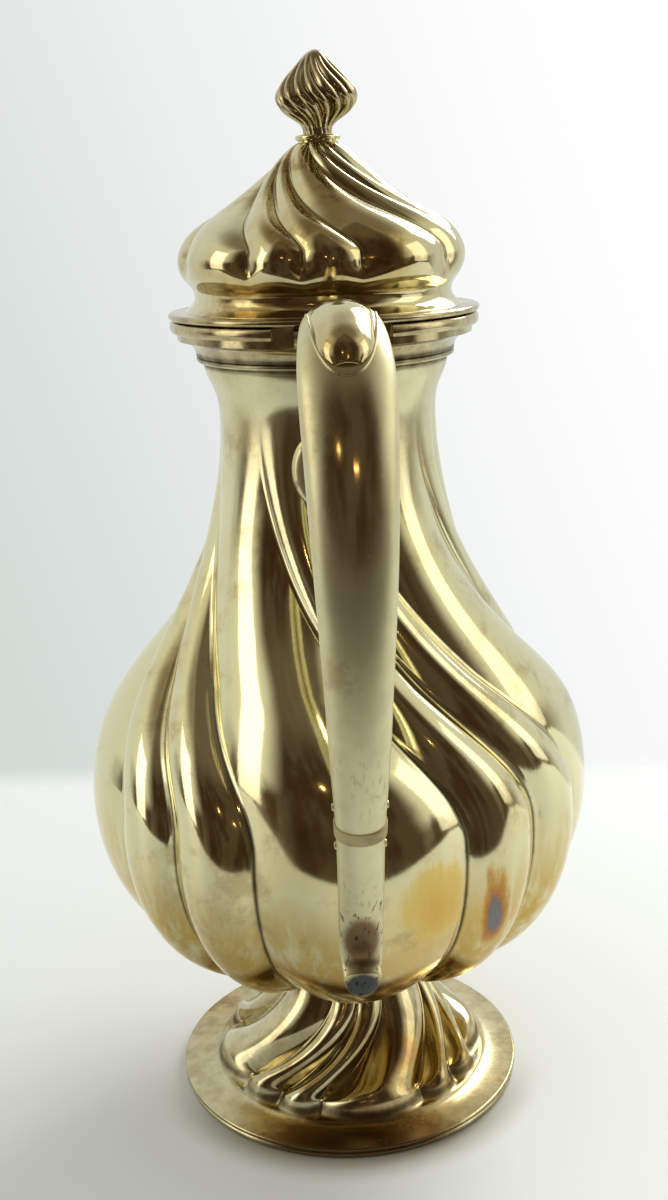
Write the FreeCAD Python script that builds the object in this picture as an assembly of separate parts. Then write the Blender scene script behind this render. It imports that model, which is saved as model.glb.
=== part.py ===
import FreeCAD, Part
import math
import os
from collections import namedtuple

# A swirl-fluted silver coffee pot on a lobed foot, with a hinged lid and a heat-insulated handle.
# Millimetres. The pot stands on the XY plane with its axis on Z, handle towards -Y, spout towards +Y.

V = FreeCAD.Vector

# Sheet metal and fits
sheet = 0.9
lid_sheet = 0.8
lid_gap = 0.3
bezel_clearance = 0.6
pin_clearance = 0.05
knuckle_gap = 0.2
tenon_clearance = 0.05
solder_gap = 0.15

# Foot
foot_radius = 43.3
foot_wire_height = 1.9
foot_wire_width = 4.6
foot_band_rise = 1.3
foot_band_width = 8.7
foot_height = 32.0
waist_radius = 17.0
foot_shares = ((0.0, 0.0), (0.08, 0.14), (0.27, 0.26), (0.545, 0.46), (0.80, 0.70), (0.96, 0.88), (1.0, 1.0))
foot_lobe_depths = (4.6, 4.0, 4.0)
foot_first_lobe = -17.0
foot_twist = 44.0
foot_full_share = 0.22
foot_waist_fade = 0.75

# Ring between the foot and the body
collar_height = 1.6
collar_overhang = 1.2
collar_depth = 2.6

# Body
base_opening = 14.0
base_disc_lap = 1.6
belly_radius = 61.15
belly_rise = 46.4
belly_fullness = 2.1
shoulder_rise = 90.0
neck_radius = 25.15
mouth_rise = 14.0
mouth_radius = 28.05
belly_steps = 6
shoulder_shares = ((0.222, 0.882), (0.444, 0.485), (0.667, 0.168), (0.84, 0.045), (1.0, 0.0))
mouth_shares = ((0.55, 0.30), (0.83, 0.86), (1.0, 1.0))
seam_drop = 4.0
body_lobe_depths = (3.4, 2.7, 2.7)
body_first_lobe = -22.5
body_twist = -66.0
body_twist_start = 4.0
body_fade_length = 44.0
body_fade_end = 2.0
body_full_share = 0.625

# Lobes round the axis, in degrees, repeated all the way round
lobe_spans = (48.0, 21.0, 21.0)
lobe_repeats = 4

# Moulding round the mouth
bead_height = 1.4
bead_width = 1.5
ovolo_height = 3.8
ovolo_width = 4.1
rim_step_height = 1.6
rim_flange_height = 2.6
rim_overhang = 1.55
bore_step = 1.85
notch_width = 25.4
notch_depth = 4.9
notch_wall = 1.3
notch_corner = 1.2

# Hinge
knuckle_radius = 1.9
knuckle_length = 5.3
lid_knuckle_length = 5.0
hinge_pin_radius = 0.8
hinge_standoff = 1.5

# Lid
lid_overhang = 0.2
lid_rim_height = 1.5
bezel_wall = 0.7
bezel_depth = 4.2
lid_flange_width = 3.6
lid_throat_depth = 2.5
lid_throat_rise = 3.4
lid_bulge_swell = 3.6
lid_bulge_rise = 10.8
lid_height = 36.0
lid_top_opening = 2.2
lid_throat_round = 0.8
lid_shares = (
    (-0.14, 0.96),
    (0.0, 1.0),
    (0.155, 0.966),
    (0.325, 0.842),
    (0.496, 0.623),
    (0.667, 0.432),
    (0.833, 0.290),
    (0.921, 0.219),
    (0.985, 0.145),
)
lid_lobe_depths = (2.2, 1.8, 1.8)
lid_first_lobe = 9.4
lid_twist = -82.0
lid_twist_start = 16.7
lid_twist_power = 1.4
lid_full_share = 0.8

# Finial
finial_collar_radius = 5.0
finial_collar_height = 1.3
finial_height = 17.5
finial_radius = 9.1
finial_neck_radius = 3.2
finial_tip_radius = 0.9
finial_shares = ((0.0, 0.0), (0.07, 0.02), (0.24, 0.60), (0.45, 1.0), (0.65, 0.70), (0.85, 0.15))
finial_ribs = 16
finial_rib_depth = 0.7
finial_twist = -75.0
finial_fade_lead = 0.25
stud_radius = 1.4
stud_depth = 6.0
nut_radius = 3.4
nut_height = 2.2
nut_gap = 0.3
stud_end = 1.0

# Handle: reach is the distance out from the line between its two seats, share the height between them
plate_drop = 8.0
plate_radius = 9.6
plate_thickness = 1.3
plate_margin = 1.9
socket_drop = 15.0
ring_thickness = 3.0
ring_proud = 0.35
tenon_length = 7.0
cross_pin_radius = 0.8
cross_pin_set = 3.5
cross_pin_proud = 0.4
cross_pin_drop = 0.5
vent_radius = 0.7

Station = namedtuple("Station", "reach share half_width crown keel")

upper_stations = (
    Station(-2.5, 0.975, 6.6, 4.4, 4.4),
    Station(4.5, 1.036, 5.8, 4.2, 4.4),
    Station(11.5, 1.118, 5.0, 4.0, 4.4),
)
grip_stations = (
    Station(15.2, 1.165, 5.0, 4.0, 4.4),
    Station(24.5, 1.268, 5.6, 4.3, 4.6),
    Station(37.5, 1.350, 7.4, 5.0, 5.0),
    Station(50.0, 1.292, 8.5, 3.6, 5.6),
    Station(57.2, 1.155, 8.6, 2.7, 6.2),
    Station(59.4, 0.959, 7.8, 2.4, 6.4),
    Station(50.0, 0.722, 6.6, 2.4, 6.0),
    Station(37.0, 0.4845, 5.5, 2.5, 5.2),
    Station(30.7, 0.3876, 5.0, 2.6, 4.8),
)
lower_stations = (
    Station(19.9, 0.2165, 4.7, 2.6, 5.4),
    Station(10.2, 0.0773, 4.6, 2.3, 8.6),
    Station(7.4, 0.0258, 4.4, 1.7, 9.0),
    Station(7.6, -0.0010, 4.1, 1.3, 9.0),
    Station(9.4, -0.0140, 3.85, 1.0, 8.8),
)
thumb_stations = (
    Station(32.2, 1.3856, 3.0, 0.8, 2.0),
    Station(38.2, 1.3876, 6.0, 1.7, 2.2),
    Station(44.7, 1.3649, 7.1, 3.0, 2.6),
    Station(50.2, 1.3278, 7.2, 3.6, 2.8),
    Station(53.4, 1.2959, 6.3, 3.4, 2.4),
    Station(54.8, 1.2773, 3.8, 2.0, 1.2),
)

# Spout: the same reach and share, mirrored to the +Y side
spout_stations = (
    Station(-9.0, 0.155, 15.0, 19.0, 19.0),
    Station(9.0, 0.225, 12.4, 15.6, 15.6),
    Station(29.0, 0.360, 9.6, 11.2, 11.2),
    Station(45.0, 0.560, 7.4, 8.0, 8.0),
    Station(58.0, 0.800, 6.1, 6.4, 6.4),
    Station(70.0, 1.030, 5.6, 6.0, 6.0),
    Station(80.5, 1.190, 5.6, 6.6, 6.6),
)
pour_radius = 7.0
pour_length = 30.0

# Resolution of the curved patches
swirl_rows = 34
swirl_columns = 6
sweep_rows = 26
plate_steps = 8

# Radii that the pieces share
foot_dome_radius = foot_radius - foot_band_width
ovolo_radius = mouth_radius + bead_width + ovolo_width
rim_radius = ovolo_radius + rim_overhang
bore_radius = mouth_radius + bore_step
lid_radius = rim_radius + lid_overhang
lid_base_radius = lid_radius - lid_flange_width
lid_throat_radius = lid_base_radius - lid_throat_depth
lid_bulge_radius = lid_throat_radius + lid_bulge_swell

# Heights that the pieces share
body_base = foot_height + collar_height
belly_height = body_base + belly_rise
seam_height = belly_height - seam_drop
neck_height = belly_height + shoulder_rise
mouth_height = neck_height + mouth_rise
rim_top = mouth_height + bead_height + ovolo_height + rim_step_height + rim_flange_height
lid_base = rim_top + lid_gap
lid_dome_base = lid_base + lid_rim_height
lid_top = lid_dome_base + lid_height
finial_base = lid_top + finial_collar_height
plate_height = neck_height - plate_drop
socket_height = belly_height - socket_drop
notch_floor = bore_radius + notch_wall
hinge_reach = notch_floor + knuckle_radius + hinge_standoff
hinge_height = rim_top - knuckle_radius - knuckle_gap

Outline = namedtuple("Outline", "curve start end")
Fluting = namedtuple("Fluting", "first spans repeats depths fade twist")

OUTWARD = (1, 0)
INWARD = (-1, 0)
UPWARD = (0, 1)

ROUND_SIDE = (1.0, 0.55, 0.55)
KEEL_SIDE = (0.92, 0.5, 0.5)


def smooth(value):
    """Ease from 0 to 1 while the value goes from 0 to 1."""
    bounded = min(1.0, max(0.0, value))
    return bounded * bounded * (3.0 - 2.0 * bounded)


def outline(points, start, end):
    """A smooth outline in the radius and height plane, with the directions that its ends are cut square to."""
    curve = Part.BSplineCurve()
    curve.interpolate(Points=[V(radius, 0, height) for radius, height in points])
    return Outline(curve, V(start[0], 0, start[1]), V(end[0], 0, end[1]))


def body_outline():
    """The crest outline of the body, from the base opening up to the mouth."""
    points = [(base_opening, body_base), (waist_radius, body_base)]
    power = 2.0 / belly_fullness
    for step in range(1, belly_steps + 1):
        angle = math.pi / 2 * step / belly_steps
        across = math.sin(angle) ** power
        down = math.cos(angle) ** power if step < belly_steps else 0.0
        radius = waist_radius + (belly_radius - waist_radius) * across
        points.append((radius, body_base + belly_rise * (1.0 - down)))
    for rise, share in shoulder_shares:
        radius = neck_radius + (belly_radius - neck_radius) * share
        points.append((radius, belly_height + shoulder_rise * rise))
    for rise, share in mouth_shares:
        radius = neck_radius + (mouth_radius - neck_radius) * share
        points.append((radius, neck_height + mouth_rise * rise))
    return outline(points, OUTWARD, UPWARD)


def foot_outline():
    """The crest outline of the foot, from its edge up to the waist."""
    edge = foot_wire_height + sheet
    start = edge + foot_band_rise
    points = [(foot_radius, edge), (foot_radius - foot_wire_width, edge)]
    for inward, rise in foot_shares:
        radius = foot_dome_radius + (waist_radius - foot_dome_radius) * inward
        points.append((radius, start + (foot_height - start) * rise))
    return outline(points, INWARD, UPWARD)


def lid_outline():
    """The crest outline of the lid, from its flange up to the hole for the finial's stud."""
    points = [
        (lid_base_radius, lid_dome_base),
        (lid_throat_radius, lid_dome_base + lid_throat_rise - lid_throat_round),
        (lid_throat_radius, lid_dome_base + lid_throat_rise + lid_throat_round),
    ]
    for rise, share in lid_shares:
        height = lid_bulge_rise + (lid_height - lid_bulge_rise) * rise
        points.append((lid_bulge_radius * share, lid_dome_base + height))
    points.append((lid_top_opening, lid_top))
    return outline(points, UPWARD, INWARD)


def finial_outline():
    """The crest outline of the finial's bud."""
    points = []
    for rise, share in finial_shares:
        radius = finial_neck_radius + (finial_radius - finial_neck_radius) * share
        points.append((radius, finial_base + finial_height * rise))
    points.append((finial_tip_radius, finial_base + finial_height))
    return outline(points, UPWARD, UPWARD)


def body_fluting():
    """Flutes that run straight up the belly, swirl over the shoulder and fade out on the neck."""
    twist_length = shoulder_rise - body_twist_start

    def fade(point):
        above = (mouth_height - body_fade_end - point.z) / body_fade_length
        below = (point.x - waist_radius) / (belly_radius - waist_radius)
        return smooth(above) * min(1.0, max(0.0, below / body_full_share))

    def twist(point):
        return body_twist * smooth((point.z - belly_height - body_twist_start) / twist_length)

    return Fluting(body_first_lobe, lobe_spans, lobe_repeats, body_lobe_depths, fade, twist)


def foot_fluting():
    """Lobes that bulge over the flat band of the foot and swirl up into the waist."""

    def fade(point):
        start = (foot_dome_radius - point.x) / (foot_dome_radius - waist_radius)
        return smooth(start / foot_full_share) * (1.0 - foot_waist_fade * smooth(start))

    def twist(point):
        return foot_twist * smooth((foot_dome_radius - point.x) / (foot_dome_radius - waist_radius))

    return Fluting(foot_first_lobe, lobe_spans, lobe_repeats, foot_lobe_depths, fade, twist)


def lid_fluting():
    """Flutes that start under the lid's bulge and swirl up to the finial."""

    def fade(point):
        rise = (point.z - lid_dome_base - lid_throat_rise) / (lid_bulge_rise - lid_throat_rise)
        return smooth(rise) * smooth(point.x / (lid_full_share * lid_bulge_radius))

    def twist(point):
        start = lid_dome_base + lid_twist_start
        share = max(0.0, (point.z - start) / (lid_top - start))
        return lid_twist * share**lid_twist_power

    return Fluting(lid_first_lobe, lobe_spans, lobe_repeats, lid_lobe_depths, fade, twist)


def finial_fluting():
    """Fine twisted ribs on the bud."""
    span = 360.0 / finial_ribs

    def fade(point):
        return smooth((point.x - finial_neck_radius) / (finial_radius - finial_neck_radius) + finial_fade_lead)

    def twist(point):
        return finial_twist * (point.z - finial_base) / finial_height

    return Fluting(0.0, (span,), finial_ribs, (finial_rib_depth,), fade, twist)


def clamped_knots(poles, degree):
    """Knots and multiplicities of an open spline with this many poles."""
    count = poles - degree + 1
    multiplicities = [degree + 1] + [1] * (count - 2) + [degree + 1]
    return [float(knot) for knot in range(count)], multiplicities


def patch(poles):
    """A cubic surface that the grid of poles pulls into shape."""
    row_knots, row_multiplicities = clamped_knots(len(poles), 3)
    column_knots, column_multiplicities = clamped_knots(len(poles[0]), 3)
    surface = Part.BSplineSurface()
    surface.buildFromPolesMultsKnots(
        poles, row_multiplicities, column_multiplicities, row_knots, column_knots, False, False, 3, 3
    )
    return surface


def end_edge(surface, last):
    """The edge across one end of a patch."""
    bounds = surface.bounds()
    return surface.uIso(bounds[1] if last else bounds[0]).toShape()


def end_cap(surfaces, last):
    """The flat face that closes a ring of patches at one end."""
    edges = [end_edge(surface, last) for surface in surfaces]
    return Part.Face(Part.Wire(Part.sortEdges(edges)[0]))


def sewn(faces):
    """One solid from faces that meet along their edges."""
    shell = Part.makeShell(faces)
    shell.sewShape()
    solid = Part.makeSolid(shell)
    if solid.Volume < 0:
        solid.reverse()
    return solid


def lobe_patch(profile, fluting, start, span, depth, lift):
    """One lobe of a fluted wall, lifted off its crest outline. All lobes meet in creases of one depth."""
    crease = max(fluting.depths)
    poles = []
    for row in range(swirl_rows + 1):
        share = row / swirl_rows
        curve = profile.curve
        place = curve.FirstParameter + (curve.LastParameter - curve.FirstParameter) * share
        point = curve.value(place)
        along = curve.tangent(place)[0]
        if row == 0:
            along = profile.start
        if row == swirl_rows:
            along = profile.end
        relief = fluting.fade(point)
        turn = start + fluting.twist(point)
        line = []
        for column in range(swirl_columns + 1):
            across = column / swirl_columns
            rise = lift + relief * (depth * (1.0 - (2.0 * across - 1.0) ** 2) - crease)
            radius = point.x + rise * along.z
            angle = math.radians(turn + span * across - 90.0)
            line.append(V(radius * math.cos(angle), radius * math.sin(angle), point.z - rise * along.x))
        poles.append(line)
    return patch(poles)


def fluted_patches(profile, fluting, lift):
    """All the lobes round the axis."""
    patches = []
    start = fluting.first
    for _ in range(fluting.repeats):
        for span, depth in zip(fluting.spans, fluting.depths):
            patches.append(lobe_patch(profile, fluting, start, span, depth, lift))
            start += span
    return patches


def fluted_shell(profile, fluting, wall):
    """A fluted wall of even thickness, open at both ends."""
    faces = []
    outer_patches = fluted_patches(profile, fluting, 0.0)
    inner_patches = fluted_patches(profile, fluting, -wall)
    for outer, inner in zip(outer_patches, inner_patches):
        faces.append(outer.toShape())
        faces.append(inner.toShape())
        for last in (False, True):
            faces.append(Part.makeRuledSurface(end_edge(outer, last), end_edge(inner, last)))
    return sewn(faces)


def fluted_block(profile, fluting):
    """A fluted shape that is solid right through, with flat ends."""
    patches = fluted_patches(profile, fluting, 0.0)
    faces = [surface.toShape() for surface in patches]
    faces.append(end_cap(patches, False))
    faces.append(end_cap(patches, True))
    return sewn(faces)


def turned(points):
    """A solid turned about the axis from an outline of (radius, height) corners and arcs' middle points."""
    edges = []
    corners = points + [points[0]]
    index = 0
    while index < len(corners) - 1:
        here = V(corners[index][0], 0, corners[index][1])
        following = corners[index + 1]
        if len(following) == 3:
            after = corners[index + 2]
            edges.append(
                Part.Arc(here, V(following[0], 0, following[1]), V(after[0], 0, after[1])).toShape()
            )
            index += 2
        else:
            edges.append(Part.LineSegment(here, V(following[0], 0, following[1])).toShape())
            index += 1
    face = Part.Face(Part.Wire(edges))
    return face.revolve(V(0, 0, 0), V(0, 0, 1), 360)


def through(radius, height):
    """An arc's middle point, for an outline to be turned."""
    return (radius, height, "arc")


def body_radius(height):
    """The crest radius of the body at a height on its shoulder or belly."""
    curve = body_outline().curve
    line = Part.LineSegment(V(base_opening / 2, 0, height), V(2 * belly_radius, 0, height))
    meeting = curve.intersect(line)
    return max(point.X for point in meeting)


class Sweep:
    """A handle or spout arm: sections of changing size along a curved path in the YZ plane."""

    def __init__(self, stations, side, lower_side):
        """Lay the path through the stations on one side of the pot (-1 handle, 1 spout)."""
        upper = body_radius(plate_height)
        lower = body_radius(socket_height)
        self.side = side
        self.lower_side = lower_side
        points = []
        for station in stations:
            seat = lower + (upper - lower) * min(1.0, max(0.0, station.share))
            height = socket_height + (plate_height - socket_height) * station.share
            points.append(V(seat + station.reach, 0, height))
        self.places = [0.0]
        for before, after in zip(points, points[1:]):
            self.places.append(self.places[-1] + before.distanceToPoint(after))
        self.path = self.graph(points)
        self.half_width = self.graph([V(0, station.half_width, place) for station, place in self.placed(stations)])
        self.crown = self.graph([V(0, station.crown, place) for station, place in self.placed(stations)])
        self.keel = self.graph([V(0, station.keel, place) for station, place in self.placed(stations)])

    def placed(self, stations):
        """Each station with its place along the path."""
        return zip(stations, self.places)

    def graph(self, points):
        """A smooth curve that passes each point at its place along the path."""
        curve = Part.BSplineCurve()
        curve.interpolate(Points=points, Parameters=self.places)
        return curve

    def size(self, place):
        """Half width, crown height and keel depth of the section at a place."""
        return [graph.value(place).y for graph in (self.half_width, self.crown, self.keel)]

    def spot(self, place, off=0.0, across=0.0):
        """The point at a place on the path, moved off it along the section's normal and across."""
        point = self.path.value(place)
        along = self.path.tangent(place)[0]
        radius = point.x - along.z * off
        height = point.z + along.x * off
        return V(across, self.side * radius, height)

    def quarters(self, place, grow):
        """Four rows of poles round the section at a place."""
        width, crown, keel = self.size(place)
        half_width = width + grow
        quarters = []
        for height, form in ((crown + grow, ROUND_SIDE), (-keel - grow, self.lower_side)):
            for hand in (1.0, -1.0):
                corners = (
                    (half_width, 0.0),
                    (half_width * form[0], height * form[1]),
                    (half_width * form[2], height),
                    (0.0, height),
                )
                quarters.append([self.spot(place, off, hand * across) for across, off in corners])
        return quarters

    def solid(self, start, end, grow=0.0):
        """The swept solid between two places, grown or shrunk by a wall."""
        rows = [
            self.quarters(start + (end - start) * row / sweep_rows, grow) for row in range(sweep_rows + 1)
        ]
        patches = [patch([row[index] for row in rows]) for index in range(4)]
        faces = [surface.toShape() for surface in patches]
        faces.append(end_cap(patches, False))
        faces.append(end_cap(patches, True))
        return sewn(faces)

    def cross_pin(self, place, proud):
        """A pin across the section at a place."""
        length = self.size(place)[0] + proud
        centre = self.spot(place, -cross_pin_drop, -length)
        return Part.makeCylinder(cross_pin_radius, 2 * length, centre, V(1, 0, 0))


def make_foot_rim():
    """The wire ring that the pot stands on."""
    inner = foot_radius - foot_wire_width
    top = foot_wire_height - solder_gap
    half = top / 2
    return turned(
        [
            (inner, 0),
            (foot_radius - half, 0),
            through(foot_radius, half),
            (foot_radius - half, top),
            (inner, top),
        ]
    )


def make_waist_collar():
    """The ring soldered between foot and body."""
    outer = waist_radius + collar_overhang
    inner = waist_radius - collar_depth
    return turned(
        [
            (inner, foot_height),
            (waist_radius, foot_height),
            through(outer, foot_height + collar_height / 2),
            (waist_radius, body_base),
            (inner, body_base),
        ]
    )


def make_base_disc():
    """The disc that closes the body above the foot."""
    radius = base_opening + base_disc_lap
    return Part.makeCylinder(radius, sheet, V(0, 0, body_base + sheet + solder_gap), V(0, 0, 1))


def make_mouth_rim():
    """The moulding round the mouth, with the notch for the hinge."""
    inner = mouth_radius - sheet
    bead_top = mouth_height + bead_height
    ovolo_top = bead_top + ovolo_height
    step_top = ovolo_top + rim_step_height
    diagonal = 1.0 - math.sqrt(0.5)
    half_flange = rim_flange_height / 2
    moulding = turned(
        [
            (inner, mouth_height),
            (mouth_radius + bead_width / 2, mouth_height),
            through(mouth_radius + bead_width, mouth_height + bead_height / 2),
            (mouth_radius + bead_width / 2, bead_top),
            (mouth_radius + bead_width, bead_top),
            through(ovolo_radius - ovolo_width * diagonal, bead_top + ovolo_height * diagonal),
            (ovolo_radius, ovolo_top),
            (ovolo_radius, step_top),
            (rim_radius - half_flange / 2, step_top),
            through(rim_radius, step_top + half_flange),
            (rim_radius - half_flange / 2, rim_top),
            (bore_radius, rim_top),
            (bore_radius, ovolo_top - ovolo_height / 2),
        ]
    )
    return moulding.cut(hinge_notch())


def hinge_notch():
    """The room in the moulding for the hinge and for the lid's edge as it swings down."""
    width = notch_width / 2
    bottom = rim_top - notch_depth
    box = Part.makeBox(
        notch_width, rim_radius, notch_depth + lid_gap, V(-width, -notch_floor - rim_radius, bottom)
    )
    lower_edges = [
        edge
        for edge in box.Edges
        if abs(edge.CenterOfMass.z - bottom) < 1e-6 and abs(abs(edge.CenterOfMass.x) - width) < 1e-6
    ]
    return box.makeFillet(notch_corner, lower_edges)


def knuckle(start, length, bore):
    """A hinge barrel along X with its bore."""
    base = V(start, -hinge_reach, hinge_height)
    barrel = Part.makeCylinder(knuckle_radius, length, base, V(1, 0, 0))
    return barrel, Part.makeCylinder(bore, length, base, V(1, 0, 0))


def make_body_knuckle(hand):
    """A knuckle on the mouth rim, with the web that is soldered to the notch's wall."""
    near = lid_knuckle_length / 2 + knuckle_gap
    start = near if hand > 0 else -near - knuckle_length
    barrel, bore = knuckle(start, knuckle_length, hinge_pin_radius)
    web_depth = hinge_reach - notch_floor
    web = Part.makeBox(
        knuckle_length, web_depth, knuckle_radius, V(start, -hinge_reach, hinge_height - knuckle_radius)
    )
    return barrel.fuse(web).removeSplitter().cut(bore)


def make_lid_knuckle():
    """The knuckle under the lid's flange, with its web."""
    start = -lid_knuckle_length / 2
    barrel, bore = knuckle(start, lid_knuckle_length, hinge_pin_radius + pin_clearance)
    web = Part.makeBox(
        lid_knuckle_length, knuckle_radius, lid_base - hinge_height, V(start, -hinge_reach, hinge_height)
    )
    return barrel.fuse(web).removeSplitter().cut(bore)


def make_hinge_pin():
    """The pin through the knuckles."""
    length = 2 * (lid_knuckle_length / 2 + knuckle_gap + knuckle_length)
    return Part.makeCylinder(hinge_pin_radius, length, V(-length / 2, -hinge_reach, hinge_height), V(1, 0, 0))


def make_lid_rim():
    """The flange that closes on the mouth rim, with a bead along its edge."""
    half = lid_rim_height / 2
    inner = bore_radius - bezel_clearance - bezel_wall
    return turned(
        [
            (inner, lid_base),
            (lid_radius - half, lid_base),
            through(lid_radius, lid_base + half),
            (lid_radius - half, lid_dome_base),
            (inner, lid_dome_base),
        ]
    )


def make_lid_bezel():
    """The ring that drops into the mouth."""
    outer = bore_radius - bezel_clearance
    bottom = lid_base - bezel_depth
    return turned(
        [
            (outer - bezel_wall, bottom),
            (outer - bezel_wall / 2, bottom),
            (outer, bottom + bezel_wall),
            (outer, lid_base),
            (outer - bezel_wall, lid_base),
        ]
    )


def make_finial_collar():
    """The ring between lid and finial."""
    half = finial_collar_height / 2
    return turned(
        [
            (stud_radius, lid_top),
            (finial_collar_radius - half, lid_top),
            through(finial_collar_radius, lid_top + half),
            (finial_collar_radius - half, finial_base),
            (stud_radius, finial_base),
        ]
    )


def make_finial():
    """The ribbed bud, bored for its stud."""
    bud = fluted_block(finial_outline(), finial_fluting())
    bore = Part.makeCylinder(stud_radius, stud_depth, V(0, 0, finial_base), V(0, 0, 1))
    return bud.cut(bore)


def make_finial_screw():
    """The stud from the finial down through the lid."""
    bottom = lid_top - lid_sheet - nut_gap - nut_height - stud_end
    return Part.makeCylinder(stud_radius, finial_base + stud_depth - bottom, V(0, 0, bottom), V(0, 0, 1))


def make_finial_nut():
    """The six-sided nut inside the lid."""
    bottom = lid_top - lid_sheet - nut_gap - nut_height
    corners = [
        V(nut_radius * math.cos(math.radians(60 * turn)), nut_radius * math.sin(math.radians(60 * turn)), bottom)
        for turn in range(7)
    ]
    block = Part.Face(Part.makePolygon(corners)).extrude(V(0, 0, nut_height))
    return block.cut(Part.makeCylinder(stud_radius, nut_height, V(0, 0, bottom), V(0, 0, 1)))


def body_halves(wall, spout):
    """The bowl and the shoulder that are soldered together under the belly, with the hole behind the spout."""
    start = spout.spot(spout.places[0])
    ahead = spout.spot(spout.places[1])
    axis = ahead.sub(start)
    axis.normalize()
    pierced = wall.cut(Part.makeCylinder(pour_radius, pour_length, start, axis))
    below = Part.makeCylinder(2 * belly_radius, seam_height, V(0, 0, 0), V(0, 0, 1))
    return pierced.common(below), pierced.cut(below)


def make_spout(spout, block):
    """The swan-neck spout, hollow and trimmed to the belly."""
    first = spout.places[0]
    last = spout.places[-1]
    return spout.solid(first, last).cut(spout.solid(first, last, -sheet)).cut(block)


def make_handle_plate(block):
    """The round plate that spreads the upper socket's load over the neck."""
    sleeve_points = []
    reach = plate_radius + plate_margin
    for step in range(plate_steps + 1):
        height = plate_height + reach * (2 * step / plate_steps - 1)
        sleeve_points.append((body_radius(height) + plate_thickness, height))
    low = sleeve_points[0][1]
    high = sleeve_points[-1][1]
    edge = Part.BSplineCurve()
    edge.interpolate(Points=[V(radius, 0, height) for radius, height in sleeve_points])
    inner = neck_radius / 2
    sides = Part.makePolygon(
        [V(sleeve_points[-1][0], 0, high), V(inner, 0, high), V(inner, 0, low), V(sleeve_points[0][0], 0, low)]
    )
    sleeve = Part.Face(Part.Wire([edge.toShape()] + sides.Edges)).revolve(V(0, 0, 0), V(0, 0, 1), 360)
    disc = Part.makeCylinder(plate_radius, 2 * neck_radius, V(0, 0, plate_height), V(0, -1, 0))
    return disc.common(sleeve).cut(block)


def handle_pieces(block, plate):
    """The sockets, insulators, grip halves, thumb rest and pins of the handle."""
    arm = Sweep(upper_stations + grip_stations + lower_stations, -1, KEEL_SIDE)
    first = arm.places[0]
    last = arm.places[-1]
    grip_start = arm.places[len(upper_stations)]
    grip_end = arm.places[-len(lower_stations) - 1]
    rings = ((grip_start - ring_thickness, grip_start), (grip_end, grip_end + ring_thickness))
    pin_places = []
    for start, end in rings:
        pin_places += [start - cross_pin_set, end + cross_pin_set]
    holes = Part.makeCompound([arm.cross_pin(place, 2 * cross_pin_proud) for place in pin_places])
    pins = Part.makeCompound([arm.cross_pin(place, cross_pin_proud) for place in pin_places])

    insulators = []
    for start, end in rings:
        ring = arm.solid(start, end, ring_proud)
        tenon = arm.solid(start - tenon_length, end + tenon_length, -sheet - tenon_clearance)
        insulators.append(ring.fuse(tenon).cut(holes))

    upper_pocket = arm.solid(rings[0][0] - tenon_length, rings[0][0] + ring_thickness, -sheet)
    lower_pocket = arm.solid(rings[1][1] - ring_thickness, rings[1][1] + tenon_length, -sheet)
    upper_socket = arm.solid(first, rings[0][0]).cut(upper_pocket).cut(holes).cut(block).cut(plate)
    lower_socket = arm.solid(rings[1][1], last).cut(lower_pocket).cut(holes).cut(block)

    grip_block = arm.solid(grip_start, grip_end)
    hollow = arm.solid(grip_start - ring_thickness / 2, grip_end + ring_thickness / 2, -sheet)
    crest = max((arm.spot(place) for place in arm.places), key=lambda point: point.z)
    vent = Part.makeCylinder(vent_radius, plate_radius, crest, V(0, 0, 1))
    grip = grip_block.cut(hollow).cut(holes).cut(vent)
    reach = 2 * belly_radius
    right_half = Part.makeBox(reach, 2 * reach, 3 * reach, V(0, -2 * reach, 0))
    left_half = Part.makeBox(reach, 2 * reach, 3 * reach, V(-reach, -2 * reach, 0))

    boss = Sweep(thumb_stations, -1, ROUND_SIDE)
    thumb_rest = boss.solid(boss.places[0], boss.places[-1]).cut(grip_block).cut(vent)
    return {
        "upper_socket": upper_socket,
        "upper_insulator": insulators[0],
        "grip_left": grip.common(left_half),
        "grip_right": grip.common(right_half),
        "thumb_rest": thumb_rest,
        "lower_insulator": insulators[1],
        "lower_socket": lower_socket,
        "insulator_pins": pins,
    }


def build_parts():
    """Every piece of the pot by its name."""
    profile = body_outline()
    flutes = body_fluting()
    block = fluted_block(profile, flutes)
    spout = Sweep(spout_stations, 1, ROUND_SIDE)
    plate = make_handle_plate(block)
    bowl, shoulder = body_halves(fluted_shell(profile, flutes, sheet), spout)
    parts = {
        "foot_rim": make_foot_rim(),
        "foot": fluted_shell(foot_outline(), foot_fluting(), sheet),
        "waist_collar": make_waist_collar(),
        "base_disc": make_base_disc(),
        "body_bowl": bowl,
        "body_shoulder": shoulder,
        "spout": make_spout(spout, block),
        "mouth_rim": make_mouth_rim(),
        "hinge_knuckle_left": make_body_knuckle(-1),
        "hinge_knuckle_right": make_body_knuckle(1),
        "hinge_knuckle_lid": make_lid_knuckle(),
        "hinge_pin": make_hinge_pin(),
        "lid_rim": make_lid_rim(),
        "lid_bezel": make_lid_bezel(),
        "lid_dome": fluted_shell(lid_outline(), lid_fluting(), lid_sheet),
        "finial_collar": make_finial_collar(),
        "finial": make_finial(),
        "finial_screw": make_finial_screw(),
        "finial_nut": make_finial_nut(),
        "handle_plate": plate,
    }
    parts.update(handle_pieces(block, plate))
    return parts


os.makedirs("parts", exist_ok=True)
for name, shape in build_parts().items():
    shape.exportStep(f"parts/{name}.step")
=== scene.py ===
import logging
import math
from dataclasses import dataclass
from enum import Enum
from typing import Any, Callable, Sequence

import bmesh
import bpy
from mathutils import Matrix, Vector


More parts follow.
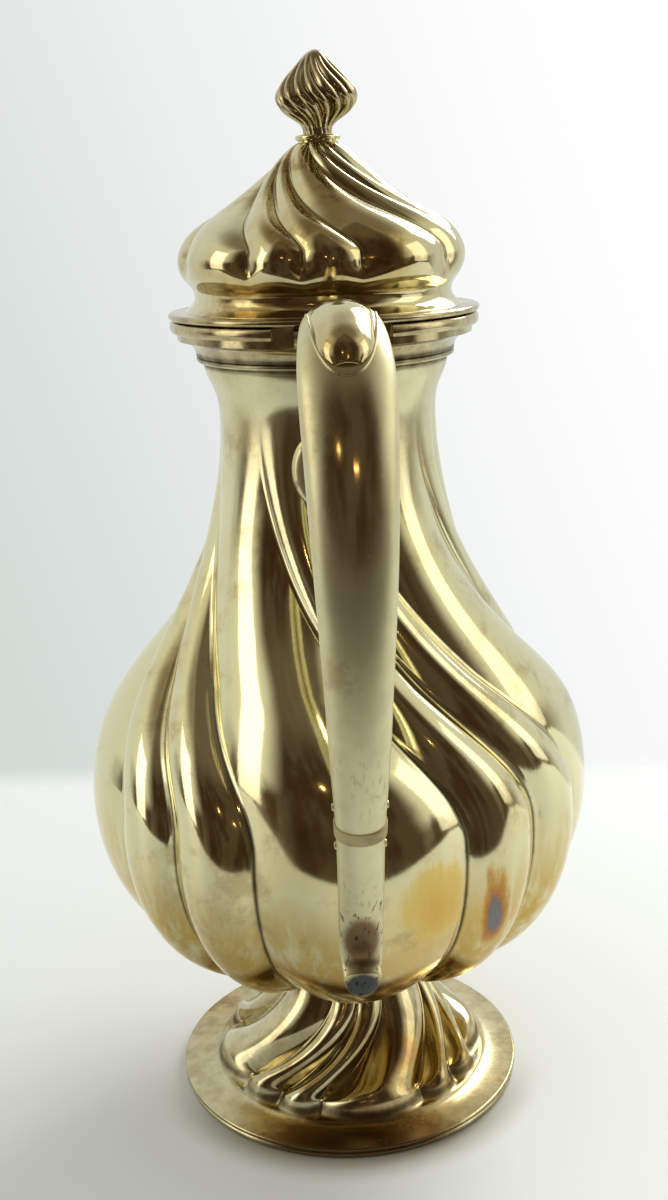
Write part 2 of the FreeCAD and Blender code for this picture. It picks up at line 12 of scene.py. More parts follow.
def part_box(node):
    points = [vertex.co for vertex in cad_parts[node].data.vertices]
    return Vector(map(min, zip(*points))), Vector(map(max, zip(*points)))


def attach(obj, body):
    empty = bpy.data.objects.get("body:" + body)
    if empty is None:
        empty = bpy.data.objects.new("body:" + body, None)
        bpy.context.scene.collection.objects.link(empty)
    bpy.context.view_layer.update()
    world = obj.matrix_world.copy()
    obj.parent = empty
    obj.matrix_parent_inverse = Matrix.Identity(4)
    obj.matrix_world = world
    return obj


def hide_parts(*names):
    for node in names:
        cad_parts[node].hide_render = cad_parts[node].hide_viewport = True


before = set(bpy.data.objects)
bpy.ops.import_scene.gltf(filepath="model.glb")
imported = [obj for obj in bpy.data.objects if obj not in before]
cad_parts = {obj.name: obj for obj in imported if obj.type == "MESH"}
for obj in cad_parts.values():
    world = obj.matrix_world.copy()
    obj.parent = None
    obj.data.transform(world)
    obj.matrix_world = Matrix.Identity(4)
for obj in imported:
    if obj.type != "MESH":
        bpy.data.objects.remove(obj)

log = logging.getLogger("coffee_pot")

MM = 0.001
POT = "pot"
LID = "lid"
Colour = tuple[float, float, float]


class Slot(Enum):
    """The record's material slots."""

    SILVER = "silver"
    IVORY = "ivory"


def arithmetic(operation: str, swapped: bool = False) -> Callable[["Wire", "Wire | float"], "Wire"]:
    """Make an arithmetic method for wires.

    Args:
        operation: What the Math node does.
        swapped: Whether the wire stands on the right of the sign.

    Returns:
        The method.
    """

    def method(wire: "Wire", value: "Wire | float") -> "Wire":
        """Join a wire and a value by a Math node."""
        return wire.graph.math(operation, *((value, wire) if swapped else (wire, value)))

    return method


class Wire:
    """A node's output whose arithmetic adds Math nodes to its tree."""

    def __init__(self, graph: "Graph", socket: bpy.types.NodeSocket | None) -> None:
        """Hold the socket and the graph that it belongs to."""
        self.graph = graph
        self.socket = socket

    def other(self, name: str) -> "Wire":
        """Another output of the same node."""
        return Wire(self.graph, self.socket.node.outputs[name])

    def __abs__(self) -> "Wire":
        """This without its sign."""
        return self.graph.math("ABSOLUTE", self)

    __add__ = arithmetic("ADD")
    __radd__ = arithmetic("ADD", swapped=True)
    __sub__ = arithmetic("SUBTRACT")
    __rsub__ = arithmetic("SUBTRACT", swapped=True)
    __mul__ = arithmetic("MULTIPLY")
    __truediv__ = arithmetic("DIVIDE")
    __pow__ = arithmetic("POWER")


class Graph:
    """A node tree that is written as expressions."""

    def __init__(self, tree: bpy.types.NodeTree) -> None:
        """Start from an empty tree."""
        self.tree = tree
        tree.nodes.clear()

    def node(
        self,
        kind: str,
        settings: dict[str, Any] | None = None,
        sockets: dict[Any, Any] | None = None,
        output: int | str = 0,
    ) -> Wire:
        """Add a node.

        Args:
            kind: The node's type.
            settings: Its own settings, set first; "stops" gives a ramp's places and colours.
            sockets: Values or wires by input name or number.
            output: The output that is returned.

        Returns:
            The wire from that output.
        """
        node = self.tree.nodes.new(kind)
        for name, value in (settings or {}).items():
            if name == "stops":
                self.set_stops(node.color_ramp, value)
            else:
                setattr(node, name, value)
        for key, value in (sockets or {}).items():
            if isinstance(value, Wire):
                self.tree.links.new(value.socket, node.inputs[key])
            else:
                node.inputs[key].default_value = value
        return Wire(self, node.outputs[output]) if len(node.outputs) else Wire(self, None)

    @staticmethod
    def set_stops(ramp: bpy.types.ColorRamp, stops: Sequence[tuple[float, Colour]]) -> None:
        """Give a colour ramp its stops.

        Args:
            ramp: The ramp.
            stops: Places from 0 to 1 with their colours.
        """
        while len(ramp.elements) < len(stops):
            ramp.elements.new(1.0)
        for element, (place, colour) in zip(ramp.elements, stops):
            element.position = place
            element.color = (*colour, 1.0)

    def math(self, operation: str, *values: "Wire | float") -> Wire:
        """A Math node on one to three values."""
        return self.node("ShaderNodeMath", {"operation": operation}, dict(enumerate(values)))

    def ease(self, value: Wire, low: float, high: float) -> Wire:
        """A smooth step from 0 to 1 while the value goes from low to high.

        Args:
            value: The value.
            low: Where the step starts.
            high: Where it ends.

        Returns:
            The step's wire.
        """
        settings = {"interpolation_type": "SMOOTHSTEP"}
        return self.node(
            "ShaderNodeMapRange", settings, {"Value": value, "From Min": low, "From Max": high}
        )

    def blend(self, factor: "Wire | float", first: "Wire | tuple", second: "Wire | tuple") -> Wire:
        """A mix of two colours, which are the Mix node's inputs 6 and 7 and its output 2."""
        sockets = {0: factor, 6: first, 7: second}
        return self.node("ShaderNodeMix", {"data_type": "RGBA"}, sockets, 2)

    def noise(self, place: Wire, scale: float, detail: float = 4.0, rough: float = 0.55) -> Wire:
        """A noise texture's value, with its scale per metre."""
        sockets = {"Vector": place, "Scale": scale, "Detail": detail, "Roughness": rough}
        return self.node("ShaderNodeTexNoise", None, sockets, "Fac")

    def stretched(self, place: Wire, scale: Colour, turn: Colour = (0.0, 0.0, 0.0)) -> Wire:
        """Coordinates scaled and turned, for patterns that run one way."""
        return self.node("ShaderNodeMapping", None, {"Vector": place, "Rotation": turn, "Scale": scale})

    def separate(self, vector: Wire) -> tuple[Wire, Wire, Wire]:
        """The three parts of a vector."""
        parts = self.node("ShaderNodeSeparateXYZ", None, {0: vector})
        return parts, parts.other("Y"), parts.other("Z")

    def combine(self, x: "Wire | float", y: "Wire | float", z: "Wire | float") -> Wire:
        """A vector from its three parts."""
        return self.node("ShaderNodeCombineXYZ", None, {0: x, 1: y, 2: z})

    def surface(self, sockets: dict[str, Any]) -> None:
        """End a material with a Principled shader."""
        shader = self.node("ShaderNodeBsdfPrincipled", None, sockets)
        self.node("ShaderNodeOutputMaterial", None, {"Surface": shader})


def start_nodes(block: "bpy.types.Material | bpy.types.World") -> Graph:
    """Give a material or a world an empty graph."""
    block.use_nodes = True
    return Graph(block.node_tree)


def rgba(colour: Colour) -> tuple[float, float, float, float]:
    """A colour with full cover."""
    return (*colour, 1.0)


@dataclass(frozen=True)
class Patch:
    """A patch of a surface: its middle in metres, its half sizes and how ragged its edge is."""

    middle: tuple[float, float, float]
    size: tuple[float, float, float]
    fray: float = 2.2

    def away(self, graph: Graph, place: Wire, noise: Wire) -> Wire:
        """How far a spot lies from the patch's middle, as a share of the half sizes.

        Args:
            graph: The material's graph.
            place: The object coordinates.
            noise: A texture that frays the patch's edge.

        Returns:
            The share, below 1 inside the patch.
        """
        moved = graph.node("ShaderNodeVectorMath", {"operation": "SUBTRACT"}, {0: place, 1: self.middle})
        scaled = graph.node("ShaderNodeVectorMath", {"operation": "DIVIDE"}, {0: moved, 1: self.size})
        length = graph.node("ShaderNodeVectorMath", {"operation": "LENGTH"}, {0: scaled}, "Value")
        return length + (noise - 0.5) * self.fray


@dataclass(frozen=True)
class TarnishAndReflection(Patch):
    """A patch of tarnish, also used for painted dark reflections: how strong it is, where it ends and its
    colours from the middle outwards.
    """

    strength: float = 0.75
    edge: tuple[float, float] = (0.70, 1.10)
    stops: tuple = (
        (0.0, (0.10, 0.15, 0.20)),
        (0.30, (0.14, 0.10, 0.14)),
        (0.55, (0.42, 0.15, 0.02)),
        (1.0, (0.62, 0.42, 0.11)),
    )

    def lay(self, graph: Graph, place: Wire, noise: Wire, colour: Wire) -> Wire:
        """Lay the patch over a colour: tarnish, and on some pieces a painted dark reflection.

        Args:
            graph: The material's graph.
            place: The object coordinates.
            noise: A texture that frays the patch's edge.
            colour: The colour under it.

        Returns:
            The new colour.
        """
        away = self.away(graph, place, noise)
        tint = graph.node("ShaderNodeValToRGB", {"stops": self.stops}, {"Fac": away}, "Color")
        return graph.blend((1.0 - graph.ease(away, *self.edge)) * self.strength, colour, tint)


class Skin:
    """The textures that a silver finish is mixed from."""

    def __init__(self, graph: Graph) -> None:
        """Add the textures.

        Args:
            graph: The material's graph.
        """
        place = graph.node("ShaderNodeTexCoord", None, None, "Object")
        self.place = place
        self.height = graph.separate(place)[2]
        self.waves = graph.noise(place, 42.0, 2.0, 0.4)
        self.clouds = graph.noise(place, 24.0, 5.0, 0.6)
        self.blotch = graph.noise(place, 70.0, 8.0, 0.7)
        self.mottle = graph.noise(place, 210.0, 6.0, 0.65)
        self.grain = graph.noise(place, 1500.0, 3.0, 0.7)
        self.streaks = graph.noise(graph.stretched(place, (1.0, 1.0, 0.16)), 330.0, 5.0, 0.65)
        slanted = graph.stretched(place, (1.0, 1.0, 0.05), (0.2, 0.15, 0.0))
        self.scratches = graph.noise(slanted, 2100.0, 3.0)
        self.groove = graph.node("ShaderNodeAttribute", {"attribute_name": "groove"}, None, "Fac")


@dataclass(frozen=True)
class SilverFinish:
    """Old polished silver with golden tarnish, dark soil in its grooves and fine wear."""

    name: str
    clean: Colour = (0.75, 0.70, 0.43)
    golden: Colour = (0.60, 0.40, 0.10)
    brown: Colour = (0.20, 0.11, 0.035)
    soil: Colour = (0.030, 0.020, 0.012)
    gold_amount: float = 0.35
    gold_low: float = 0.0
    gold_high: float = 0.0
    stain_amount: float = 0.5
    film: float = 0.0
    pitting: float = 0.0
    pitting_top: float = 0.13
    pitting_fade: float = 0.04
    roughness: float = 0.05
    soil_roughness: float = 0.35
    worn_roughness: float = 0.0
    worn_film: float = 0.0
    worn_edge: tuple[float, float] = (0.55, 1.25)
    polish: Patch | None = None
    soil_lines: tuple[float, ...] = ()
    soil_line_edge: tuple[float, float] = (0.0002, 0.0014)
    wear: float = 0.5
    waviness: float = 0.35
    bump_strength: float = 0.6
    bump_distance: float = 0.0009
    tarnish_and_reflection_patches: tuple[TarnishAndReflection, ...] = ()

    def build(self) -> bpy.types.Material:
        """Make the material.

        Returns:
            The new material.
        """
        material = bpy.data.materials.new(self.name)
        graph = start_nodes(material)
        skin = Skin(graph)
        worn = 0.0
        if self.polish is not None:
            worn = graph.ease(self.polish.away(graph, skin.place, skin.blotch), *self.worn_edge)
        stain = graph.ease(skin.clouds * 0.35 + skin.blotch * 0.65, 0.53, 0.64) * self.stain_amount
        dirt = self.dirt(graph, skin)
        colour = graph.blend(dirt * 0.9, self.tarnish(graph, skin, stain, worn), rgba(self.soil))
        rough = self.roughness + (skin.mottle * 0.08 + skin.scratches * 0.10) * self.wear + stain * 0.08
        rough = rough + worn * (self.worn_roughness - self.roughness) + dirt * self.soil_roughness
        fine = (skin.grain * 0.012 + skin.scratches * 0.015) * self.wear
        relief = skin.waves * self.waviness + fine - dirt * 0.12
        sockets = {"Strength": self.bump_strength, "Distance": self.bump_distance, "Height": relief}
        bump = graph.node("ShaderNodeBump", None, sockets)
        graph.surface({"Base Color": colour, "Metallic": 1.0, "Roughness": rough, "Normal": bump})
        return material

    def tarnish(self, graph: Graph, skin: Skin, stain: Wire, worn: "Wire | float") -> Wire:
        """The metal's colour with its gold, brown film, tarnish patches and painted reflections.

        Args:
            graph: The material's graph.
            skin: Its textures.
            stain: How brown it is stained.
            worn: How far the polish is gone.

        Returns:
            The colour.
        """
        gold = graph.ease(skin.clouds * 0.7 + skin.blotch * 0.3, 0.46, 0.66) * self.gold_amount
        if self.gold_high > self.gold_low:
            ragged = skin.height + (skin.clouds - 0.5) * 0.05
            band = 1.0 - graph.ease(ragged, self.gold_low, self.gold_high)
            runs = graph.ease(skin.streaks * 0.6 + skin.clouds * 0.4, 0.32, 0.54)
            gold = graph.math("MAXIMUM", gold, band * runs)
        colour = graph.blend(gold, rgba(self.clean), rgba(self.golden))
        film = 0.2 + skin.clouds * 0.7 + graph.ease(skin.mottle, 0.35, 0.7) * 0.6
        film = film * (self.film + worn * self.worn_film)
        veil = graph.math("MAXIMUM", stain * (0.4 + skin.mottle * 0.6), film)
        colour = graph.blend(veil, colour, rgba(self.brown))
        # tarnish patches, and patches of painted dark reflection, laid over the colour
        for tarnish_and_reflection_patch in self.tarnish_and_reflection_patches:
            colour = tarnish_and_reflection_patch.lay(graph, skin.place, skin.blotch * 0.5 + skin.streaks * 0.5, colour)
        return colour

    def dirt(self, graph: Graph, skin: Skin) -> Wire:
        """How much soil lies on a spot: in grooves, pits and lines.

        Args:
            graph: The material's graph.
            skin: Its textures.

        Returns:
            The amount, from 0 to 1.
        """
        dirt = graph.ease(skin.groove + skin.mottle * 0.3 - 0.15, 0.52, 1.05)
        if self.pitting > 0.0:
            lines = graph.noise(graph.stretched(skin.place, (1.0, 1.0, 0.07)), 1100.0, 4.0, 0.7)
            pits = graph.ease(lines * 0.8 + skin.blotch * 0.2, 0.54, 0.62)
            pits = pits * graph.ease(skin.clouds, 0.38, 0.54)
            low = 1.0 - graph.ease(skin.height, self.pitting_top - self.pitting_fade, self.pitting_top)
            dirt = graph.math("MAXIMUM", dirt, pits * low * self.pitting)
        for line in self.soil_lines:
            band = 1.0 - graph.ease(abs(skin.height - line), *self.soil_line_edge)
            dirt = graph.math("MAXIMUM", dirt, band * (0.3 + skin.mottle * 0.9))
        return dirt


@dataclass(frozen=True)
class IvoryFinish:
    """Aged cream insulator with a faint grain and brown stains."""

    name: str
    cream: Colour = (0.40, 0.33, 0.14)
    stained: Colour = (0.17, 0.11, 0.035)
    roughness: float = 0.38

    def build(self) -> bpy.types.Material:
        """Make the material.

        Returns:
            The new material.
        """
        material = bpy.data.materials.new(self.name)
        graph = start_nodes(material)
        place = graph.node("ShaderNodeTexCoord", None, None, "Object")
        stains = graph.noise(place, 260.0, 5.0, 0.6)
        lines = graph.noise(graph.stretched(place, (1.0, 1.0, 0.1)), 2200.0, 2.0)
        colour = graph.blend(graph.ease(stains, 0.45, 0.75) * 0.6, rgba(self.cream), rgba(self.stained))
        colour = graph.blend(graph.ease(lines, 0.55, 0.75) * 0.25, colour, rgba(self.stained))
        bump = graph.node("ShaderNodeBump", None, {"Strength": 0.3, "Distance": 0.0002, "Height": lines})
        graph.surface({"Base Color": colour, "Roughness": self.roughness + stains * 0.2, "Normal": bump})
        return material


class Spline:
    """A natural cubic spline through points, measured along their chords."""

    def __init__(self, points: Sequence[Sequence[float]]) -> None:
        """Fit the spline.

        Args:
            points: The points; the first two values of each are its place, the rest go along.
        """
        self.points = [tuple(point) for point in points]
        self.places = [0.0]
        for before, after in zip(self.points, self.points[1:]):
            self.places.append(self.places[-1] + math.dist(before[:2], after[:2]))
        self.bends = list(zip(*(self.solve(values) for values in zip(*self.points))))

    def solve(self, values: Sequence[float]) -> list[float]:
        """The second derivatives of one value at each point.

        Args:
            values: The value at each point.

        Returns:
            One second derivative per point, zero at both ends.
        """
        count = len(values)
        gaps = [b - a for a, b in zip(self.places, self.places[1:])]
        share = [0.0] * count
        part = [0.0] * count
        for i in range(1, count - 1):
            slope = (values[i + 1] - values[i]) / gaps[i] - (values[i] - values[i - 1]) / gaps[i - 1]
            pivot = 2.0 * (gaps[i - 1] + gaps[i]) - gaps[i - 1] * share[i - 1]
            share[i] = gaps[i] / pivot
            part[i] = (6.0 * slope - gaps[i - 1] * part[i - 1]) / pivot
        bends = [0.0] * count
        for i in range(count - 2, 0, -1):
            bends[i] = part[i] - share[i] * bends[i + 1]
        return bends

    def at(self, place: float) -> list[float]:
        """The point at a place along the spline.

        Args:
            place: How far along the chords.

        Returns:
            The point's values.
        """
        index = max(0, min(len(self.places) - 2, sum(1 for known in self.places[1:-1] if known <= place)))
        start, end = self.places[index], self.places[index + 1]
        gap = end - start
        b = (place - start) / gap
        a = 1.0 - b
        lean_a = (a**3 - a) * gap * gap / 6.0
        lean_b = (b**3 - b) * gap * gap / 6.0
        rows = zip(self.points[index], self.points[index + 1], self.bends[index], self.bends[index + 1])
        return [a * p + b * q + lean_a * s + lean_b * t for p, q, s, t in rows]

    def samples(self, count: int, start: float = 0.0, end: float | None = None) -> list[list[float]]:
        """Evenly placed points from start to end."""
        last = self.places[-1] if end is None else end
        return [self.at(start + (last - start) * step / count) for step in range(count + 1)]


def smooth(value: float) -> float:
    """Ease from 0 to 1 while the value goes from 0 to 1."""
    bounded = min(1.0, max(0.0, value))
    return bounded * bounded * (3.0 - 2.0 * bounded)


def add_object(name: str, data: bpy.types.ID) -> bpy.types.Object:
    """Link a new object to the scene.

    Args:
        name: The object's name.
        data: Its mesh, lamp or camera.

    Returns:
        The object.
    """
    made = bpy.data.objects.new(name, data)
    bpy.context.scene.collection.objects.link(made)
    return made


class Tree:
    """A Geometry Nodes tree with named inputs that shapes a chain of points into a piece."""

    SEAM = 2e-6

    def __init__(self, name: str, inputs: dict[str, str]) -> None:
        """Make the tree.

        Args:
            name: The tree's name.
            inputs: The socket type of each named input.
        """
        self.tree = bpy.data.node_groups.new(name, "GeometryNodeTree")
        self.graph = Graph(self.tree)
        self.tree.interface.new_socket("Geometry", in_out="INPUT", socket_type="NodeSocketGeometry")
        for label, kind in inputs.items():
            self.tree.interface.new_socket(label, in_out="INPUT", socket_type=kind)
        self.tree.interface.new_socket("Material", in_out="INPUT", socket_type="NodeSocketMaterial")
        self.tree.interface.new_socket("Geometry", in_out="OUTPUT", socket_type="NodeSocketGeometry")
        self.source = self.graph.node("NodeGroupInput")

    def entry(self, name: str) -> Wire:
        """The wire of a named input."""
        return self.source.other(name)

    def curve(self) -> Wire:
        """The chain as a curve."""
        return self.graph.node("GeometryNodeMeshToCurve", None, {"Mesh": self.entry("Geometry")})

    def path(self, curve: Wire, factor: Wire) -> Wire:
        """The chain's position at a share of its length; the same node gives its tangent."""
        sockets = {"Curves": curve, "Factor": factor}
        return self.graph.node("GeometryNodeSampleCurve", {"mode": "FACTOR"}, sockets, "Position")

    def sampled(self, curve: Wire, attribute: str, factor: Wire) -> Wire:
        """An attribute of the chain at a share of its length.

        Args:
            curve: The chain as a curve.
            attribute: The attribute's name.
            factor: The share of the length.

        Returns:
            The value's wire.
        """
        graph = self.graph
        value = graph.node("GeometryNodeInputNamedAttribute", {"data_type": "FLOAT"}, {"Name": attribute})
        settings = {"mode": "FACTOR", "data_type": "FLOAT"}
        return graph.node(
            "GeometryNodeSampleCurve", settings, {"Curves": curve, "Value": value, "Factor": factor}, "Value"
        )

    def grid(self) -> tuple[Wire, Wire, Wire]:
        """A unit grid of Columns by Rows with its two shares.

        Returns:
            The grid, and how far a vertex lies across and along it, from 0 to 1.
        """
        graph = self.graph
        sockets = {
            "Size X": 1.0,
            "Size Y": 1.0,
            "Vertices X": self.entry("Columns") + 1.0,
            "Vertices Y": self.entry("Rows") + 1.0,
        }
        mesh = graph.node("GeometryNodeMeshGrid", None, sockets)
        x, y, _ = graph.separate(graph.node("GeometryNodeInputPosition"))
        return mesh, x + 0.5, y + 0.5

    def close(self, geometry: Wire) -> None:
        """End the tree: merge seams, shade smooth, realize, set the material.

        Args:
            geometry: The finished shape.
        """
        graph = self.graph
        sockets = {"Geometry": geometry, "Distance": self.SEAM}
        merged = graph.node("GeometryNodeMergeByDistance", None, sockets)
        shaded = graph.node("GeometryNodeSetShadeSmooth", None, {"Geometry": merged})
        real = graph.node("GeometryNodeRealizeInstances", None, {"Geometry": shaded})
        sockets = {"Geometry": real, "Material": self.entry("Material")}
        done = graph.node("GeometryNodeSetMaterial", None, sockets)
        graph.node("NodeGroupOutput", None, {"Geometry": done})

    def run(self, name: str, chain: bpy.types.Mesh, values: dict[str, Any]) -> bpy.types.Object:
        """Shape one piece.

        Args:
            name: The piece's name.
            chain: The points that the tree starts from.
            values: Values of the named inputs.

        Returns:
            An object that holds the result as a plain mesh.
        """
        piece = add_object(name, chain)
        modifier = piece.modifiers.new("shape", "NODES")
        modifier.node_group = self.tree
        for item in self.tree.interface.items_tree:
            if item.in_out == "INPUT" and item.name in values:
                modifier[item.identifier] = values[item.name]
        apply_modifiers(piece)
        return piece


def apply_modifiers(piece: bpy.types.Object) -> None:
    """Turn a piece's evaluated shape into its plain mesh.

    Args:
        piece: The piece.
    """
    bpy.context.view_layer.update()
    evaluated = piece.evaluated_get(bpy.context.evaluated_depsgraph_get())
    mesh = bpy.data.meshes.new_from_object(evaluated)
    piece.modifiers.clear()
    piece.data = mesh
    mesh.name = piece.name


def chain_mesh(
    points: Sequence[Sequence[float]], attributes: dict[str, Sequence[float]], linked: bool = True
) -> bpy.types.Mesh:
    """Points in millimetres as a chain of edges that carries values.

    Args:
        points: The points, in order.
        attributes: Values per point by name.
        linked: Whether edges join the points.

    Returns:
        The mesh, in metres.
    """
    mesh = bpy.data.meshes.new("chain")
    edges = [(i, i + 1) for i in range(len(points) - 1)] if linked else []
    mesh.from_pydata([Vector(point) * MM for point in points], edges, [])
    for name, values in attributes.items():
        layer = mesh.attributes.new(name, "FLOAT", "POINT")
        layer.data.foreach_set("value", list(values))
    return mesh


class FlutedTree(Tree):
    """A wall turned about the axis, pressed into lobes that follow the chain's turn and relief."""

    GROOVE_SHARPNESS = 18.0

    def __init__(self) -> None:
        """Build the nodes."""
        floats = ("First Lobe", "Wide Span", "Narrow Span", "Wide Depth", "Narrow Depth", "Crease Depth")
        inputs = {"Columns": "NodeSocketInt", "Rows": "NodeSocketInt", "Repeats": "NodeSocketInt"}
        super().__init__("fluted_wall", inputs | {name: "NodeSocketFloat" for name in floats})
        graph = self.graph
        curve = self.curve()
        mesh, around, along = self.grid()
        wide, narrow = self.entry("Wide Span"), self.entry("Narrow Span")
        here = graph.math("FRACT", around * self.entry("Repeats")) * (wide + narrow * 2.0)
        in_wide = graph.math("LESS_THAN", here, wide)
        in_narrow = graph.math("FRACT", (here - wide) / narrow)
        across = in_narrow + (here / wide - in_narrow) * in_wide
        shallow = self.entry("Narrow Depth")
        depth = shallow + (self.entry("Wide Depth") - shallow) * in_wide
        edge = abs(across * 2.0 - 1.0)
        relief = self.sampled(curve, "relief", along)
        rise = relief * (depth * (1.0 - edge * edge) - self.entry("Crease Depth"))
        sampled = self.path(curve, along)
        radius, _, height = graph.separate(sampled)
        slope_out, _, slope_up = graph.separate(sampled.other("Tangent"))
        reach = radius + rise * slope_up
        angle = self.entry("First Lobe") + self.sampled(curve, "turn", along) + around * math.tau
        place = graph.combine(
            reach * graph.math("COSINE", angle), reach * graph.math("SINE", angle), height - rise * slope_out
        )
        marked = graph.node(
            "GeometryNodeStoreNamedAttribute",
            {"data_type": "FLOAT", "domain": "POINT"},
            {"Geometry": mesh, "Name": "groove", "Value": relief * edge**self.GROOVE_SHARPNESS},
        )
        self.close(graph.node("GeometryNodeSetPosition", None, {"Geometry": marked, "Position": place}))


class ArmTree(Tree):
    """A rounded arm swept along a chain in the YZ plane, with a width, crown and keel at each point."""

    def __init__(self) -> None:
        """Build the nodes."""
        inputs = {"Columns": "NodeSocketInt", "Rows": "NodeSocketInt"}
        floats = ("Start Angle", "Sweep Angle", "Side", "Squareness", "Grow")
        super().__init__("swept_arm", inputs | {name: "NodeSocketFloat" for name in floats})
        graph = self.graph
        curve = self.curve()
        mesh, around, along = self.grid()
        side = self.entry("Side")
        angle = (self.entry("Start Angle") + around * self.entry("Sweep Angle")) * side * -1.0
        cosine, sine = graph.math("COSINE", angle), graph.math("SINE", angle)
        power = self.entry("Squareness")
        out = graph.math("SIGN", cosine) * abs(cosine) ** power
        off = graph.math("SIGN", sine) * abs(sine) ** power
        width, crown, keel = (self.sampled(curve, name, along) for name in ("width", "crown", "keel"))
        above = graph.math("GREATER_THAN", sine, 0.0)
        lift = (keel + (crown - keel) * above + self.entry("Grow")) * off
        sampled = self.path(curve, along)
        _, y, z = graph.separate(sampled)
        _, slope_y, slope_z = graph.separate(sampled.other("Tangent"))
        place = graph.combine(
            (width + self.entry("Grow")) * out, y - slope_z * side * lift, z + slope_y * side * lift
        )
        self.close(graph.node("GeometryNodeSetPosition", None, {"Geometry": mesh, "Position": place}))


class WireTree(Tree):
    """A round wire bent along a chain."""

    def __init__(self) -> None:
        """Build the nodes."""
        super().__init__("bent_wire", {"Radius": "NodeSocketFloat", "Sides": "NodeSocketInt"})
        graph = self.graph
        curve = self.curve()
        sockets = {"Resolution": self.entry("Sides"), "Radius": self.entry("Radius")}
        ring = graph.node("GeometryNodeCurvePrimitiveCircle", {"mode": "RADIUS"}, sockets)
        sockets = {"Curve": curve, "Profile Curve": ring, "Fill Caps": True}
        self.close(graph.node("GeometryNodeCurveToMesh", None, sockets))


class PinTree(Tree):
    """Cross pins set at points, each as long as its point says."""

    def __init__(self) -> None:
        """Build the nodes."""
        super().__init__("cross_pins", {"Radius": "NodeSocketFloat", "Sides": "NodeSocketInt"})
        graph = self.graph
        sockets = {"Vertices": self.entry("Sides"), "Radius": self.entry("Radius"), "Depth": 1.0}
        pin = graph.node("GeometryNodeMeshCylinder", None, sockets)
        length = graph.node("GeometryNodeInputNamedAttribute", {"data_type": "FLOAT"}, {"Name": "length"})
        sockets = {
            "Points": self.entry("Geometry"),
            "Instance": pin,
            "Rotation": (0.0, math.pi / 2.0, 0.0),
            "Scale": graph.combine(1.0, 1.0, length),
        }
        placed = graph.node("GeometryNodeInstanceOnPoints", None, sockets)
        self.close(graph.node("GeometryNodeRealizeInstances", None, {"Geometry": placed}))


@dataclass
class Workshop:
    """The trees and finishes that the sub-assemblies share."""

    fluted: FlutedTree
    arm: ArmTree
    wire: WireTree
    pins: PinTree
    finishes: dict[str, bpy.types.Material]


def finish_piece(
    piece: bpy.types.Object, body: str, nodes: Sequence[str]
) -> bpy.types.Object:
    """Hand a finished piece to its body.

    Args:
        piece: The piece, in place.
        body: The body that it moves with.
        nodes: The CAD nodes that it stands for.

    Returns:
        The piece.
    """
    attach(piece, body)
    if nodes:
        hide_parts(*nodes)
    log.info("%s: %d faces on %s", piece.name, len(piece.data.polygons), body)
    return piece


def thicken(piece: bpy.types.Object, wall: float) -> None:
    """Give an open wall its thickness inwards, in millimetres.

    Args:
        piece: The piece.
        wall: The wall's thickness.
    """
    modifier = piece.modifiers.new("wall", "SOLIDIFY")
    modifier.thickness = wall * MM
    modifier.offset = -1.0
    apply_modifiers(piece)


def soften(piece: bpy.types.Object, width: float, angle: float = 40.0, segments: int = 2) -> None:
    """Round a piece's sharp edges, in millimetres and degrees.

    Args:
        piece: The piece.
        width: How wide the rounding is.
        angle: Edges sharper than this are rounded.
        segments: Steps across the rounding.
    """
    modifier = piece.modifiers.new("edges", "BEVEL")
    modifier.width = width * MM
    modifier.segments = segments
    modifier.limit_method = "ANGLE"
    modifier.angle_limit = math.radians(angle)
    modifier.harden_normals = False
    apply_modifiers(piece)
    shade(piece)


def shade(piece: bpy.types.Object, angle: float = 35.0) -> None:
    """Smooth faces with sharp edges past an angle in degrees."""
    piece.data.shade_smooth()
    piece.data.set_sharp_from_angle(angle=math.radians(angle))


def reshape(piece: bpy.types.Object, change: Callable[[bmesh.types.BMesh], None]) -> None:
    """Change a piece's mesh through a function.

    Args:
        piece: The piece.
        change: The function, which is given the mesh.
    """
    mesh = bmesh.new()
    mesh.from_mesh(piece.data)
    change(mesh)
    mesh.to_mesh(piece.data)
    mesh.free()
    piece.data.update()


def close_ends(mesh: bmesh.types.BMesh) -> None:
    """Fill open ends and point all faces outwards.

    Args:
        mesh: The mesh to change.
    """
    edges = [edge for edge in mesh.edges if edge.is_boundary]
    bmesh.ops.holes_fill(mesh, edges=edges, sides=0)
    bmesh.ops.recalc_face_normals(mesh, faces=mesh.faces)


def arc(
    centre: tuple[float, float], radii: tuple[float, float], start: float, end: float, steps: int
) -> list[tuple[float, float]]:
    """Points on an arc of (radius, height).

    Args:
        centre: The arc's centre.
        radii: Its half sizes.
        start: The angle that it starts at, in degrees.
        end: The angle that it ends at.
        steps: How many steps it has.

    Returns:
        The points, one more than the steps.
    """
    angles = [math.radians(start + (end - start) * step / steps) for step in range(steps + 1)]
    return [(centre[0] + radii[0] * math.cos(a), centre[1] + radii[1] * math.sin(a)) for a in angles]


def turned(
    name: str, outline: Sequence[tuple[float, float]], material: bpy.types.Material, segments: int = 192
) -> bpy.types.Object:
    """A ring turned about the axis from a closed outline of (radius, height) in millimetres.

    Args:
        name: The piece's name.
        outline: The closed outline, without its first point repeated.
        material: The finish.
        segments: Steps round the axis.

    Returns:
        The object.
    """
    count = len(outline)
    points = []
    faces = []
    for step in range(segments):
        angle = math.tau * step / segments
        here = step * count
        after = (step + 1) % segments * count
        for index, (radius, height) in enumerate(outline):
            points.append(Vector((radius * math.cos(angle), radius * math.sin(angle), height)) * MM)
            following = (index + 1) % count
            faces.append((here + index, after + index, after + following, here + following))
    mesh = bpy.data.meshes.new(name)
    mesh.from_pydata(points, [], faces)
    mesh.materials.append(material)
    piece = add_object(name, mesh)
    reshape(piece, lambda made: bmesh.ops.recalc_face_normals(made, faces=made.faces))
    shade(piece)
    return piece


